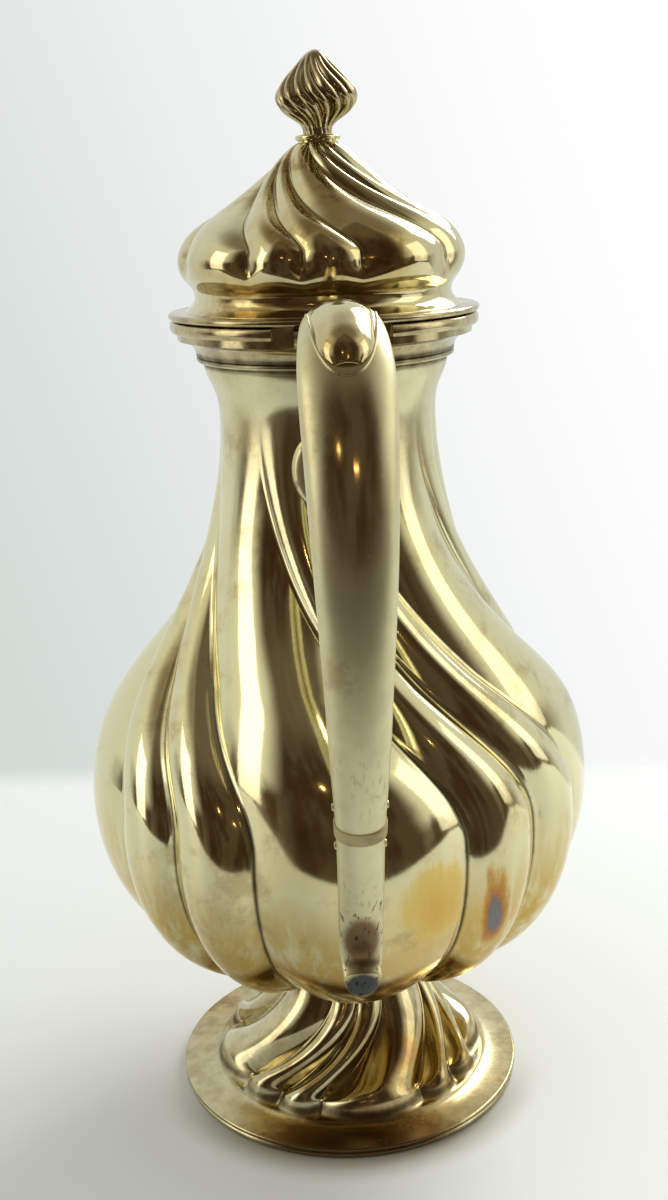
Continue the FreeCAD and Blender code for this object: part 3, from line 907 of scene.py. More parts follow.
@dataclass(frozen=True)
class Lobes:
    """How a wall is pressed into lobes round its axis."""

    first: float
    depths: tuple[float, float]
    relief: Callable[[float, float], float]
    turn: Callable[[float, float], float]
    spans: tuple[float, float] = (48.0, 21.0)
    repeats: int = 4


def fluted_piece(
    shop: Workshop,
    name: str,
    outline: Spline,
    lobes: Lobes,
    grid: tuple[int, int],
    material: bpy.types.Material,
    samples: int = 300,
) -> bpy.types.Object:
    """A fluted wall from its crest outline.

    Args:
        shop: The shared trees.
        name: The piece's name.
        outline: The crest outline of (radius, height) in millimetres.
        lobes: Its lobes.
        grid: Columns round the axis and rows along the outline.
        material: The finish.
        samples: Points that the outline is handed over with.

    Returns:
        The open wall as an object.
    """
    points = outline.samples(samples)
    relief = [lobes.relief(radius, height) for radius, height in points]
    turn = [math.radians(lobes.turn(radius, height)) for radius, height in points]
    places = [(radius, 0.0, height) for radius, height in points]
    chain = chain_mesh(places, {"relief": relief, "turn": turn})
    values = {
        "Columns": grid[0],
        "Rows": grid[1],
        "Repeats": lobes.repeats,
        "First Lobe": math.radians(lobes.first - 90.0),
        "Wide Span": lobes.spans[0],
        "Narrow Span": lobes.spans[1],
        "Wide Depth": lobes.depths[0] * MM,
        "Narrow Depth": lobes.depths[1] * MM,
        "Crease Depth": max(lobes.depths) * MM,
        "Material": material,
    }
    return shop.fluted.run(name, chain, values)


@dataclass
class Foot:
    """The lobed foot on its wire ring, with the collar under the body."""

    radius: float = 43.3
    wire_height: float = 1.9
    wire_width: float = 4.6
    wire_gap: float = 0.1
    sheet: float = 0.9
    band_rise: float = 1.3
    dome_radius: float = 34.6
    height: float = 32.0
    waist: float = 17.0
    twist: float = 44.0
    first: float = -17.0
    lobe_depths: tuple[float, float] = (5.6, 5.0)
    lobe_fade: float = 0.72
    bulb: float = 0.22
    collar_wall: float = 2.6
    collar_bulge: float = 1.2
    grid: tuple[int, int] = (360, 120)
    shares: tuple = (
        (0.0, 0.0),
        (0.08, 0.14),
        (0.27, 0.26),
        (0.545, 0.46),
        (0.80, 0.70),
        (0.96, 0.88),
        (1.0, 1.0),
    )

    def inward(self, radius: float) -> float:
        """How far a radius lies from the dome's edge towards the waist, from 0 to 1."""
        return (self.dome_radius - radius) / (self.dome_radius - self.waist)

    def outline(self) -> Spline:
        """The crest outline from the edge up to the waist.

        Returns:
            The outline of (radius, height).
        """
        edge = self.wire_height + self.sheet
        start = edge + self.band_rise
        points = [(self.radius, edge), (self.radius - self.wire_width, edge)]
        for inward, rise in self.shares:
            radius = self.dome_radius + (self.waist - self.dome_radius) * inward
            points.append((radius, start + (self.height - start) * rise))
        return Spline(points)

    def relief(self, radius: float, _: float) -> float:
        """How deep the lobes are pressed, with bulbous ends at the dome's edge.

        Args:
            radius: A radius on the outline.

        Returns:
            The share of the full depth.
        """
        start = max(0.0, self.inward(radius))
        short = 1.0 - min(1.0, start / self.bulb)
        return math.sqrt(1.0 - short * short) * (1.0 - self.lobe_fade * smooth(start))

    def turn(self, radius: float, _: float) -> float:
        """How far the lobes have swirled at a radius, in degrees."""
        return self.twist * smooth(self.inward(radius))

    def build(self, shop: Workshop) -> None:
        """Make and dress the foot's pieces.

        Args:
            shop: The shared trees and finishes.
        """
        silver = shop.finishes["foot"]
        lobes = Lobes(self.first, self.lobe_depths, self.relief, self.turn)
        wall = fluted_piece(shop, "foot_sheet", self.outline(), lobes, self.grid, silver)
        thicken(wall, self.sheet)
        finish_piece(wall, POT, ["foot"])

        inner = self.radius - self.wire_width
        half = self.wire_height / 2.0
        ring = [(inner, 0.0), (inner, self.wire_height - self.wire_gap)]
        ring += arc((self.radius - half, half), (half, half - self.wire_gap / 2.0), 90.0, -90.0, 10)
        finish_piece(turned("foot_wire", ring, silver), POT, ["foot_rim"])

        low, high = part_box("waist_collar")
        middle = (low.z + high.z) / 2.0 / MM
        tall = (high.z - low.z) / 2.0 / MM
        inner = self.waist - self.collar_wall
        collar = [(inner, middle - tall), (inner, middle + tall)]
        collar += arc((self.waist, middle), (self.collar_bulge, tall), 90.0, -90.0, 12)
        finish_piece(turned("waist_ring", collar, shop.finishes["body"]), POT, ["waist_collar"])


@dataclass
class Body:
    """The pear-shaped body whose flutes swirl over the shoulder and fade out on the neck."""

    opening: float = 14.0
    waist: float = 17.0
    base: float = 33.6
    belly_radius: float = 61.15
    belly_rise: float = 46.4
    fullness: float = 2.1
    shoulder_rise: float = 90.0
    neck_radius: float = 25.15
    mouth_rise: float = 14.0
    mouth_radius: float = 28.05
    sheet: float = 0.9
    first: float = -22.5
    twist: float = -66.0
    twist_start: float = 4.0
    flute_depths: tuple[float, float] = (4.4, 3.8)
    fade_end: float = 2.0
    fade_length: float = 44.0
    full_share: float = 0.625
    hole_start: tuple[float, float, float] = (0.0, 45.0, 80.0)
    hole_ahead: tuple[float, float, float] = (0.0, 60.6, 86.8)
    hole_radius: float = 7.0
    hole_length: float = 30.0
    belly_steps: int = 6
    grid: tuple[int, int] = (240, 190)
    shoulder_shares: tuple = ((0.222, 0.882), (0.444, 0.485), (0.667, 0.168), (0.84, 0.045), (1.0, 0.0))
    mouth_shares: tuple = ((0.55, 0.30), (0.83, 0.86), (1.0, 1.0))

    @property
    def belly(self) -> float:
        """The height of the belly's widest ring."""
        return self.base + self.belly_rise

    @property
    def mouth(self) -> float:
        """The height of the mouth."""
        return self.belly + self.shoulder_rise + self.mouth_rise

    def outline(self) -> Spline:
        """The crest outline from the base opening up to the mouth.

        Returns:
            The outline of (radius, height).
        """
        points = [(self.opening, self.base), (self.waist, self.base)]
        power = 2.0 / self.fullness
        for step in range(1, self.belly_steps + 1):
            angle = math.pi / 2.0 * step / self.belly_steps
            across = math.sin(angle) ** power
            down = max(0.0, math.cos(angle)) ** power
            radius = self.waist + (self.belly_radius - self.waist) * across
            points.append((radius, self.base + self.belly_rise * (1.0 - down)))
        for rise, share in self.shoulder_shares:
            radius = self.neck_radius + (self.belly_radius - self.neck_radius) * share
            points.append((radius, self.belly + self.shoulder_rise * rise))
        for rise, share in self.mouth_shares:
            radius = self.neck_radius + (self.mouth_radius - self.neck_radius) * share
            points.append((radius, self.belly + self.shoulder_rise + self.mouth_rise * rise))
        return Spline(points)

    def relief(self, radius: float, height: float) -> float:
        """How deep the flutes are pressed.

        Args:
            radius: A radius on the outline.
            height: The height at that radius.

        Returns:
            The share of the full depth.
        """
        above = (self.mouth - self.fade_end - height) / self.fade_length
        below = (radius - self.waist) / (self.belly_radius - self.waist)
        return smooth(above) * min(1.0, max(0.0, below / self.full_share))

    def turn(self, _: float, height: float) -> float:
        """How far the flutes have swirled at a height, in degrees."""
        share = (height - self.belly - self.twist_start) / (self.shoulder_rise - self.twist_start)
        return self.twist * smooth(share)

    def build(self, shop: Workshop) -> None:
        """Make and dress the body.

        Args:
            shop: The shared trees and finishes.
        """
        lobes = Lobes(self.first, self.flute_depths, self.relief, self.turn)
        wall = fluted_piece(shop, "body_sheet", self.outline(), lobes, self.grid, shop.finishes["body"])
        thicken(wall, self.sheet)
        self.pierce(wall)
        finish_piece(wall, POT, ["body_bowl", "body_shoulder"])

    def pierce(self, wall: bpy.types.Object) -> None:
        """Cut the pouring hole behind the spout.

        Args:
            wall: The body's wall.
        """
        start, ahead = Vector(self.hole_start) * MM, Vector(self.hole_ahead) * MM
        axis = (ahead - start).normalized()
        turn = axis.to_track_quat("Z", "Y").to_matrix().to_4x4()
        place = Matrix.Translation(start + axis * self.hole_length * MM / 2.0) @ turn

        def make(made: bmesh.types.BMesh) -> None:
            """Make the round cutter along the spout's root.

            Args:
                made: The mesh to change.
            """
            radius = self.hole_radius * MM
            sizes = {"radius1": radius, "radius2": radius, "depth": self.hole_length * MM}
            bmesh.ops.create_cone(made, cap_ends=True, segments=48, matrix=place, **sizes)

        cut_away(wall, make)


def cut_away(piece: bpy.types.Object, make: Callable[[bmesh.types.BMesh], None]) -> None:
    """Cut a shape from a piece.

    Args:
        piece: The piece.
        make: The function that makes the shape's mesh.
    """
    cutter = add_object("cutter", bpy.data.meshes.new("cutter"))
    reshape(cutter, make)
    modifier = piece.modifiers.new("cut", "BOOLEAN")
    modifier.operation = "DIFFERENCE"
    modifier.solver = "EXACT"
    modifier.object = cutter
    apply_modifiers(piece)
    bpy.data.objects.remove(cutter)


@dataclass
class Mouth:
    """The moulding round the mouth, with the notch for the hinge."""

    body: Body
    bead_height: float = 1.4
    bead_width: float = 1.5
    bead_round: float = 0.7
    ovolo_height: float = 3.8
    ovolo_width: float = 4.1
    step_height: float = 1.6
    flange_height: float = 2.6
    rim_radius: float = 35.2
    bore: float = 29.9
    bore_edge: float = 0.3
    notch_width: float = 25.4
    notch_depth: float = 4.9
    notch_floor: float = 31.2
    notch_round: float = 1.2
    notch_over: float = 1.0

    @property
    def ovolo_top(self) -> float:
        """The height where the ovolo ends."""
        return self.body.mouth + self.bead_height + self.ovolo_height

    @property
    def top(self) -> float:
        """The height of the moulding's top."""
        return self.ovolo_top + self.step_height + self.flange_height

    def build(self, shop: Workshop) -> None:
        """Make and dress the moulding.

        Args:
            shop: The shared trees and finishes.
        """
        base = self.body.mouth
        step_top = self.ovolo_top + self.step_height
        bead = self.body.mouth_radius + self.bead_width
        bulge = self.bead_round
        swell = (self.ovolo_width, self.ovolo_height)
        half = self.flange_height / 2.0
        outline = [(self.body.mouth_radius - self.body.sheet, base)]
        outline += arc((bead - bulge, base + bulge), (bulge, bulge), -90.0, 90.0, 8)
        outline += arc((bead + self.ovolo_width, base + self.bead_height), swell, 180.0, 90.0, 10)
        outline.append((bead + self.ovolo_width, step_top))
        outline += arc((self.rim_radius - half / 2.0, step_top + half), (half / 2.0, half), -90.0, 90.0, 10)
        outline += [
            (self.bore + self.bore_edge, self.top),
            (self.bore, self.top - self.bore_edge),
            (self.bore, self.ovolo_top - self.ovolo_height / 2.0),
        ]
        ring = turned("mouth_moulding", outline, shop.finishes["rim"], 256)
        cut_away(ring, self.make_notch)
        shade(ring)
        finish_piece(ring, POT, ["mouth_rim"])

    def make_notch(self, made: bmesh.types.BMesh) -> None:
        """Make the block that leaves room for the hinge, with its lower long edges rounded.

        Args:
            made: The mesh that the block is made in.
        """
        deep = self.rim_radius
        middle = self.top - self.notch_depth / 2.0 + self.notch_over
        centre = Vector((0.0, -self.notch_floor - deep / 2.0, middle)) * MM
        size = Vector((self.notch_width, deep, self.notch_depth + 2.0 * self.notch_over)) * MM
        place = Matrix.Translation(centre) @ Matrix.Diagonal((*size, 1.0))
        bmesh.ops.create_cube(made, size=1.0, matrix=place)
        low = [edge for edge in made.edges if all(v.co.z < centre.z for v in edge.verts)]
        sides = [edge for edge in low if abs(edge.verts[0].co.y - edge.verts[1].co.y) > MM]
        rounding = {"offset": self.notch_round * MM, "segments": 6, "profile": 0.5}
        bmesh.ops.bevel(made, geom=sides, affect="EDGES", **rounding)


@dataclass
class Lid:
    """The onion lid on its flange, with the bezel inside."""

    flange_radius: float = 35.4
    base: float = 193.7
    flange_height: float = 1.5
    bezel_radius: float = 29.3
    bezel_wall: float = 0.7
    bezel_depth: float = 4.2
    bezel_edge: float = 0.7
    base_radius: float = 31.8
    throat_radius: float = 29.3
    throat_rise: float = 3.4
    throat_round: float = 0.8
    bulge_radius: float = 32.9
    bulge_rise: float = 10.8
    height: float = 36.0
    opening: float = 2.2
    sheet: float = 0.8
    first: float = 12.5
    flute_rise: float = 5.4
    flute_depths: tuple[float, float] = (2.0, 1.7)
    flute_spans: tuple[float, float] = (45.0, 22.5)
    full_share: float = 0.6
    twist: float = -86.0
    twist_start: float = 14.0
    twist_power: float = 1.6
    grid: tuple[int, int] = (240, 150)
    shares: tuple = (
        (-0.14, 0.96),
        (0.0, 1.0),
        (0.155, 0.966),
        (0.325, 0.842),
        (0.496, 0.623),
        (0.667, 0.432),
        (0.833, 0.290),
        (0.921, 0.219),
        (0.985, 0.145),
    )

    @property
    def dome_base(self) -> float:
        """The height of the flange's top."""
        return self.base + self.flange_height

    def outline(self) -> Spline:
        """The crest outline from the flange up to the stud's hole.

        Returns:
            The outline of (radius, height).
        """
        points = [
            (self.base_radius, self.dome_base),
            (self.throat_radius, self.dome_base + self.throat_rise - self.throat_round),
            (self.throat_radius, self.dome_base + self.throat_rise + self.throat_round),
        ]
        for rise, share in self.shares:
            height = self.bulge_rise + (self.height - self.bulge_rise) * rise
            points.append((self.bulge_radius * share, self.dome_base + height))
        points.append((self.opening, self.dome_base + self.height))
        return Spline(points)

    def relief(self, radius: float, height: float) -> float:
        """How deep the flutes are pressed, from 0 to 1."""
        rise = (height - self.dome_base - self.flute_rise) / (self.bulge_rise - self.flute_rise)
        return smooth(rise) * smooth(radius / (self.full_share * self.bulge_radius))

    def turn(self, _: float, height: float) -> float:
        """How far the flutes have swirled at a height, in degrees."""
        share = (height - self.dome_base - self.twist_start) / (self.height - self.twist_start)
        return self.twist * max(0.0, share) ** self.twist_power

    def build(self, shop: Workshop) -> None:
        """Make and dress the lid.

        Args:
            shop: The shared trees and finishes.
        """
        silver = shop.finishes["lid"]
        lobes = Lobes(self.first, self.flute_depths, self.relief, self.turn, self.flute_spans)
        dome = fluted_piece(shop, "lid_sheet", self.outline(), lobes, self.grid, silver)
        thicken(dome, self.sheet)
        finish_piece(dome, LID, ["lid_dome"])

        half = self.flange_height / 2.0
        inner = self.bezel_radius - self.bezel_wall
        flange = [(inner, self.base), (inner, self.dome_base)]
        flange += arc((self.flange_radius - half, self.base + half), (half, half), 90.0, -90.0, 10)
        finish_piece(turned("lid_flange", flange, shop.finishes["rim"]), LID, ["lid_rim"])

        bottom = self.base - self.bezel_depth
        bezel = [
            (inner, bottom),
            (inner, self.base),
            (self.bezel_radius, self.base),
            (self.bezel_radius, bottom + self.bezel_edge),
            (self.bezel_radius - self.bezel_edge / 2.0, bottom),
        ]
        finish_piece(turned("lid_bezel_ring", bezel, silver), LID, ["lid_bezel"])


@dataclass
class Finial:
    """The ribbed bud on its collar."""

    base: float = 232.5
    collar_height: float = 1.3
    collar_radius: float = 5.0
    collar_skirt: float = 1.2
    collar_bore: float = 1.4
    height: float = 17.5
    radius: float = 9.1
    neck: float = 3.2
    tip: float = 0.9
    point: tuple[float, float] = (0.05, 0.25)
    ribs: int = 16
    rib_columns: int = 12
    rows: int = 90
    rib_depth: float = 1.0
    rib_least: float = 0.25
    no_span: float = 1e-4
    twist: float = -75.0
    shares: tuple = ((0.0, 0.0), (0.07, 0.02), (0.24, 0.60), (0.45, 1.0), (0.65, 0.70), (0.85, 0.15))

    def outline(self) -> Spline:
        """The crest outline of the bud.

        Returns:
            The outline of (radius, height).
        """
        points = [
            (self.neck + (self.radius - self.neck) * share, self.base + self.height * rise)
            for rise, share in self.shares
        ]
        top = self.base + self.height
        points += [(self.tip, top), (self.point[0], top + self.point[1])]
        return Spline(points)

    def relief(self, radius: float, _: float) -> float:
        """How deep the ribs are pressed, from 0 to 1."""
        return smooth((radius - self.neck) / (self.radius - self.neck) + self.rib_least)

    def turn(self, _: float, height: float) -> float:
        """How far the ribs have swirled at a height, in degrees."""
        return self.twist * (height - self.base) / self.height

    def build(self, shop: Workshop) -> None:
        """Make and dress the finial and its collar.

        Args:
            shop: The shared trees and finishes.
        """
        depths = (self.rib_depth, self.rib_depth)
        spans = (360.0 / self.ribs, self.no_span)
        lobes = Lobes(0.0, depths, self.relief, self.turn, spans, self.ribs)
        grid = (self.ribs * self.rib_columns, self.rows)
        bud = fluted_piece(shop, "finial_bud", self.outline(), lobes, grid, shop.finishes["finial"])
        reshape(bud, close_ends)
        finish_piece(bud, LID, ["finial"])

        half = self.collar_height / 2.0
        middle = self.base - half
        edge = self.collar_radius - half
        bottom = middle - half - self.collar_skirt
        collar = [(self.collar_bore, bottom), (self.collar_bore, middle + half)]
        collar += arc((edge, middle), (half, half), 90.0, -90.0, 10)
        collar.append((edge, bottom))
        finish_piece(turned("finial_ring", collar, shop.finishes["lid"], 96), LID, ["finial_collar"])


@dataclass
class Arm:
    """A bent arm in the YZ plane: stations of radius, height, half width, crown and keel."""

    stations: tuple
    side: float
    step: float = 0.05

    def __post_init__(self) -> None:
        """Fit the spline through the stations."""
        self.spline = Spline(self.stations)

    def spot(self, place: float, across: float, off: float) -> Vector:
        """A point beside the path, in millimetres.

        Args:
            place: Where along the path.
            across: How far to the right.
            off: How far to the outside of the bend.

        Returns:
            The point.
        """
        here = self.spline.at(place)
        ahead = self.spline.at(place + self.step)
        slope_r, slope_z = ahead[0] - here[0], ahead[1] - here[1]
        size = math.hypot(slope_r, slope_z)
        radius = here[0] - slope_z / size * off
        return Vector((across, self.side * radius, here[1] + slope_r / size * off))

    def make(
        self,
        shop: Workshop,
        name: str,
        span: tuple[float, float],
        material: bpy.types.Material,
        grid: tuple[int, int] = (64, 60),
        angles: tuple[float, float] = (0.0, 360.0),
        grow: float = 0.0,
        squareness: float = 1.0,
    ) -> bpy.types.Object:
        """Sweep one stretch of the arm.

        Args:
            shop: The shared trees.
            name: The piece's name.
            span: Where along the path it starts and ends.
            material: The finish.
            grid: Columns round it and rows along it.
            angles: Where round the section it starts, and how far it goes, in degrees.
            grow: How much it stands proud all round.
            squareness: 1 for an oval section, less for a squarer one.

        Returns:
            The open tube as an object.
        """
        rows = self.spline.samples(200, *span)
        names = ("width", "crown", "keel")
        attributes = {key: [row[2 + index] * MM for row in rows] for index, key in enumerate(names)}
        chain = chain_mesh([(0.0, self.side * row[0], row[1]) for row in rows], attributes)
        values = {
            "Columns": grid[0],
            "Rows": grid[1],
            "Start Angle": math.radians(angles[0]),
            "Sweep Angle": math.radians(angles[1]),
            "Side": self.side,
            "Squareness": squareness,
            "Grow": grow * MM,
            "Material": material,
        }
        return shop.arm.run(name, chain, values)


def seat(piece: bpy.types.Object, body: Body, sunk: float) -> None:
    """Draw back what would pass through the body's wall, so that the piece ends inside that wall.

    Args:
        piece: The piece.
        body: The body that it is soldered to.
        sunk: How deep under the crest outline it ends.
    """
    points = body.outline().samples(400)
    upper = [point for point in points if point[0] > body.waist + 1.0]

    def change(mesh: bmesh.types.BMesh) -> None:
        """Push each vertex out to the least radius at its height.

        Args:
            mesh: The mesh to change.
        """
        for vertex in mesh.verts:
            height = vertex.co.z / MM
            nearest = min(upper, key=lambda point: abs(point[1] - height))
            least = (nearest[0] - sunk) * MM
            reach = math.hypot(vertex.co.x, vertex.co.y)
            if 0.0 < reach < least:
                vertex.co.x *= least / reach
                vertex.co.y *= least / reach

    reshape(piece, change)


@dataclass
class Handle:
    """The insulated handle: plate, sockets, rings, hollow grip in two halves, thumb boss and pins."""

    body: Body
    sheet: float = 0.9
    grip_start: float = 25.01
    grip_end: float = 158.58
    grip_seam: float = 0.05
    squareness: float = 0.96
    grip_grid: tuple[int, int] = (40, 240)
    ring_grid: tuple[int, int] = (72, 12)
    socket_grid: tuple[int, int] = (72, 110)
    boss_grid: tuple[int, int] = (72, 60)
    ring: float = 3.0
    ring_proud: float = 0.35
    ring_edge: float = 0.5
    socket_edge: float = 0.3
    socket_sunk: float = 0.6
    boss_edge: float = 0.9
    lip_start: float = 56.0
    lip_nose: float = 71.6
    lip_half_width: float = 6.3
    lip_power: float = 0.85
    lip_radius: float = 0.4
    lip_steps: int = 60
    pin_radius: float = 0.8
    pin_set: float = 3.5
    pin_proud: float = 0.4
    pin_sunk: float = 0.5
    pin_edge: float = 0.25
    plate_height: float = 162.0
    plate_radius: float = 9.6
    plate_thickness: float = 1.3
    plate_sunk: float = 0.45
    plate_follow: float = 4.9
    plate_flat: float = 0.86
    plate_reach: float = 30.0
    stations: tuple = (
        (24.1, 159.6, 6.6, 4.4, 4.4),
        (30.3, 165.5, 5.8, 4.2, 4.4),
        (37.3, 173.4, 5.0, 4.0, 4.4),
        (41.0, 178.0, 5.0, 4.0, 4.4),
        (50.3, 188.0, 5.6, 4.3, 4.6),
        (63.3, 196.0, 7.4, 4.6, 5.0),
        (75.8, 190.3, 8.8, 4.0, 5.6),
        (83.0, 177.0, 8.6, 4.8, 6.2),
        (86.5, 158.0, 7.8, 4.6, 6.4),
        (85.0, 135.0, 6.6, 4.3, 6.0),
        (80.0, 112.0, 5.5, 4.2, 5.2),
        (76.9, 102.6, 5.0, 4.1, 4.8),
        (71.8, 86.0, 4.7, 3.7, 5.4),
        (66.8, 72.5, 4.6, 2.6, 8.6),
        (65.7, 67.5, 4.4, 1.7, 9.0),
        (66.7, 64.9, 4.1, 1.3, 9.0),
        (68.5, 63.6, 3.9, 1.0, 8.8),
    )
    boss_stations: tuple = (
        (56.0, 196.4, 4.0, 2.6, 2.0),
        (63.0, 196.6, 6.4, 4.6, 2.2),
        (69.0, 195.4, 6.6, 5.4, 2.6),
        (74.0, 193.6, 5.9, 5.1, 2.8),
        (77.6, 191.8, 4.9, 4.3, 2.4),
        (79.9, 190.0, 2.8, 2.2, 1.2),
    )

    def __post_init__(self) -> None:
        """Sample the neck that the plate lies on."""
        rows = self.body.outline().samples(300)
        self.neck_rows = [row for row in rows if row[1] > self.plate_height - self.plate_reach]

    def build(self, shop: Workshop) -> None:
        """Make and dress the handle's pieces.

        Args:
            shop: The shared trees and finishes.
        """
        arm = Arm(self.stations, -1.0)
        last = arm.spline.places[-1]
        worn = shop.finishes["strap"]
        ivory = shop.finishes["ivory"]
        rings = ((self.grip_start - self.ring, self.grip_start), (self.grip_end, self.grip_end + self.ring))

        halves = (("grip_half_right", "grip_right", -90.0), ("grip_half_left", "grip_left", 90.0))
        for name, node, start in halves:
            angles = (start + self.grip_seam, 180.0 - 2.0 * self.grip_seam)
            span = (self.grip_start, self.grip_end)
            half = arm.make(shop, name, span, worn, self.grip_grid, angles, squareness=self.squareness)
            thicken(half, self.sheet)
            shade(half)
            finish_piece(half, POT, [node])

        names = (("upper_ring", "upper_insulator"), ("lower_ring", "lower_insulator"))
        for (name, node), span in zip(names, rings):
            band = arm.make(
                shop, name, span, ivory, self.ring_grid, grow=self.ring_proud, squareness=self.squareness
            )
            reshape(band, close_ends)
            soften(band, self.ring_edge)
            finish_piece(band, POT, [node])

        sockets = (
            ("upper_arm_socket", "upper_socket", (0.0, rings[0][0])),
            ("lower_arm_socket", "lower_socket", (rings[1][1], last)),
        )
        for name, node, span in sockets:
            socket = arm.make(shop, name, span, worn, self.socket_grid, squareness=self.squareness)
            reshape(socket, close_ends)
            seat(socket, self.body, self.socket_sunk)
            soften(socket, self.socket_edge)
            finish_piece(socket, POT, [node])

        self.build_boss(shop, arm)
        self.build_plate(shop)
        self.build_pins(shop, arm, rings)

    def build_boss(self, shop: Workshop, arm: Arm) -> None:
        """Make the thumb boss with the thin lip round its nose.

        Args:
            shop: The shared trees and finishes.
            arm: The handle's arm, which the lip lies on.
        """
        boss = Arm(self.boss_stations, -1.0)
        span = (0.0, boss.spline.places[-1])
        knob = boss.make(shop, "thumb_boss", span, shop.finishes["lid"], self.boss_grid)
        reshape(knob, close_ends)
        soften(knob, self.boss_edge, segments=4)
        finish_piece(knob, POT, ["thumb_rest"])

        points = []
        for step in range(self.lip_steps + 1):
            angle = math.pi * step / self.lip_steps
            cosine = math.cos(angle)
            across = self.lip_half_width * math.copysign(abs(cosine) ** self.lip_power, cosine)
            ahead = math.sin(angle) ** self.lip_power
            place = self.lip_start + (self.lip_nose - self.lip_start) * ahead
            _, _, half_width, crown, _ = arm.spline.at(place)
            share = max(0.0, 1.0 - (across / half_width) ** 2)
            points.append(arm.spot(place, across, crown * math.sqrt(share)))
        values = {"Radius": self.lip_radius * MM, "Sides": 12, "Material": shop.finishes["strap"]}
        finish_piece(shop.wire.run("thumb_lip", chain_mesh(points, {}), values), POT, [])

    def plate_point(self, share: float, angle: float, lift: float) -> Vector:
        """A point of the plate, in metres.

        Args:
            share: How far it lies from the plate's middle, from 0 to 1.
            angle: Where it lies round the middle, in radians.
            lift: How far it stands off the neck; below 0 it is sunk and follows the flutes.

        Returns:
            The point.
        """
        across = self.plate_radius * share * math.cos(angle)
        height = self.plate_height + self.plate_radius * share * math.sin(angle)
        crest = min(self.neck_rows, key=lambda row: abs(row[1] - height))[0]
        radius = crest + lift
        if lift < 0.0:
            radius += lift * self.body.relief(crest, height) * self.plate_follow
        turn = across / radius
        return Vector((radius * math.sin(turn), -radius * math.cos(turn), height)) * MM

    def build_plate(self, shop: Workshop, rings: int = 16, segments: int = 72) -> None:
        """Make the round plate that lies on the neck.

        Args:
            shop: The shared finishes.
            rings: Steps from its middle to its edge.
            segments: Steps round it.
        """
        levels = []
        for ring in range(1, rings + 1):
            share = ring / rings
            past = max(0.0, (share - self.plate_flat) / (1.0 - self.plate_flat))
            levels.append((share, self.plate_thickness * math.sqrt(max(0.0, 1.0 - past**2))))
        levels.append((1.0, -self.plate_sunk))
        angles = [math.tau * step / segments for step in range(segments)]

        def change(mesh: bmesh.types.BMesh) -> None:
            """Skin the plate's rings and close it in front and behind.

            Args:
                mesh: The mesh to change.
            """
            loops = [
                [mesh.verts.new(self.plate_point(share, angle, lift)) for angle in angles]
                for share, lift in levels
            ]
            for inner, outer in zip(loops, loops[1:]):
                for s in range(segments):
                    after = (s + 1) % segments
                    mesh.faces.new((inner[s], outer[s], outer[after], inner[after]))
            mesh.faces.new(loops[0])
            mesh.faces.new(list(reversed(loops[-1])))
            bmesh.ops.recalc_face_normals(mesh, faces=mesh.faces)

        made = bpy.data.meshes.new("neck_plate")
        made.materials.append(shop.finishes["strap"])
        piece = add_object("neck_plate", made)
        reshape(piece, change)
        shade(piece)
        finish_piece(piece, POT, ["handle_plate"])

    def build_pins(self, shop: Workshop, arm: Arm, rings: Sequence[tuple[float, float]]) -> None:
        """Set the cross pins through sockets and rings.

        Args:
            shop: The shared trees and finishes.
            arm: The handle's arm.
            rings: Where each insulating ring starts and ends along the arm.
        """
        places = [place for start, end in rings for place in (start - self.pin_set, end + self.pin_set)]
        centres = [arm.spot(place, 0.0, -self.pin_sunk) for place in places]
        lengths = [2.0 * (arm.spline.at(place)[2] + self.pin_proud) * MM for place in places]
        chain = chain_mesh(centres, {"length": lengths}, linked=False)
        values = {"Radius": self.pin_radius * MM, "Sides": 24, "Material": shop.finishes["strap"]}
        pins = shop.pins.run("cross_pins", chain, values)
        soften(pins, self.pin_edge)
        finish_piece(pins, POT, ["insulator_pins"])


@dataclass
class Spout:
    """The swan-neck spout over the pouring hole."""

    body: Body
    sheet: float = 0.9
    root: float = 4.0
    sunk: float = 0.6
    grid: tuple[int, int] = (96, 200)
    stations: tuple = (
        (45.0, 80.0, 15.0, 19.0, 19.0),
        (60.6, 86.8, 12.4, 15.6, 15.6),
        (76.1, 99.9, 9.6, 11.2, 11.2),
        (85.4, 119.3, 7.4, 8.0, 8.0),
        (90.4, 142.6, 6.1, 6.4, 6.4),
        (95.8, 164.9, 5.6, 6.0, 6.0),
        (106.3, 180.4, 5.6, 6.6, 6.6),
    )

    def build(self, shop: Workshop) -> None:
        """Make and dress the spout.

        Args:
            shop: The shared trees and finishes.
        """
        arm = Arm(self.stations, 1.0)
        span = (self.root, arm.spline.places[-1])
        tube = arm.make(shop, "spout_sheet", span, shop.finishes["body"], self.grid)
        seat(tube, self.body, self.sunk)
        thicken(tube, self.sheet)
        shade(tube)
        finish_piece(tube, POT, ["spout"])


@dataclass
class SmallFittings:
    """Fittings whose solids are shown as they are: hinge, stud, nut and base disc."""

    nodes: tuple = (
        "base_disc",
        "hinge_knuckle_left",
        "hinge_knuckle_right",
        "hinge_knuckle_lid",
        "hinge_pin",
        "finial_screw",
        "finial_nut",
    )

    def dress(self, shop: Workshop) -> None:
        """Give each fitting its finish.

        Args:
            shop: The shared trees and finishes.
        """
        for name in self.nodes:
            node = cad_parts[name]
            node.data.materials.clear()
            node.data.materials.append(shop.finishes["rim"])
            log.info("%s: solid with a new finish", name)


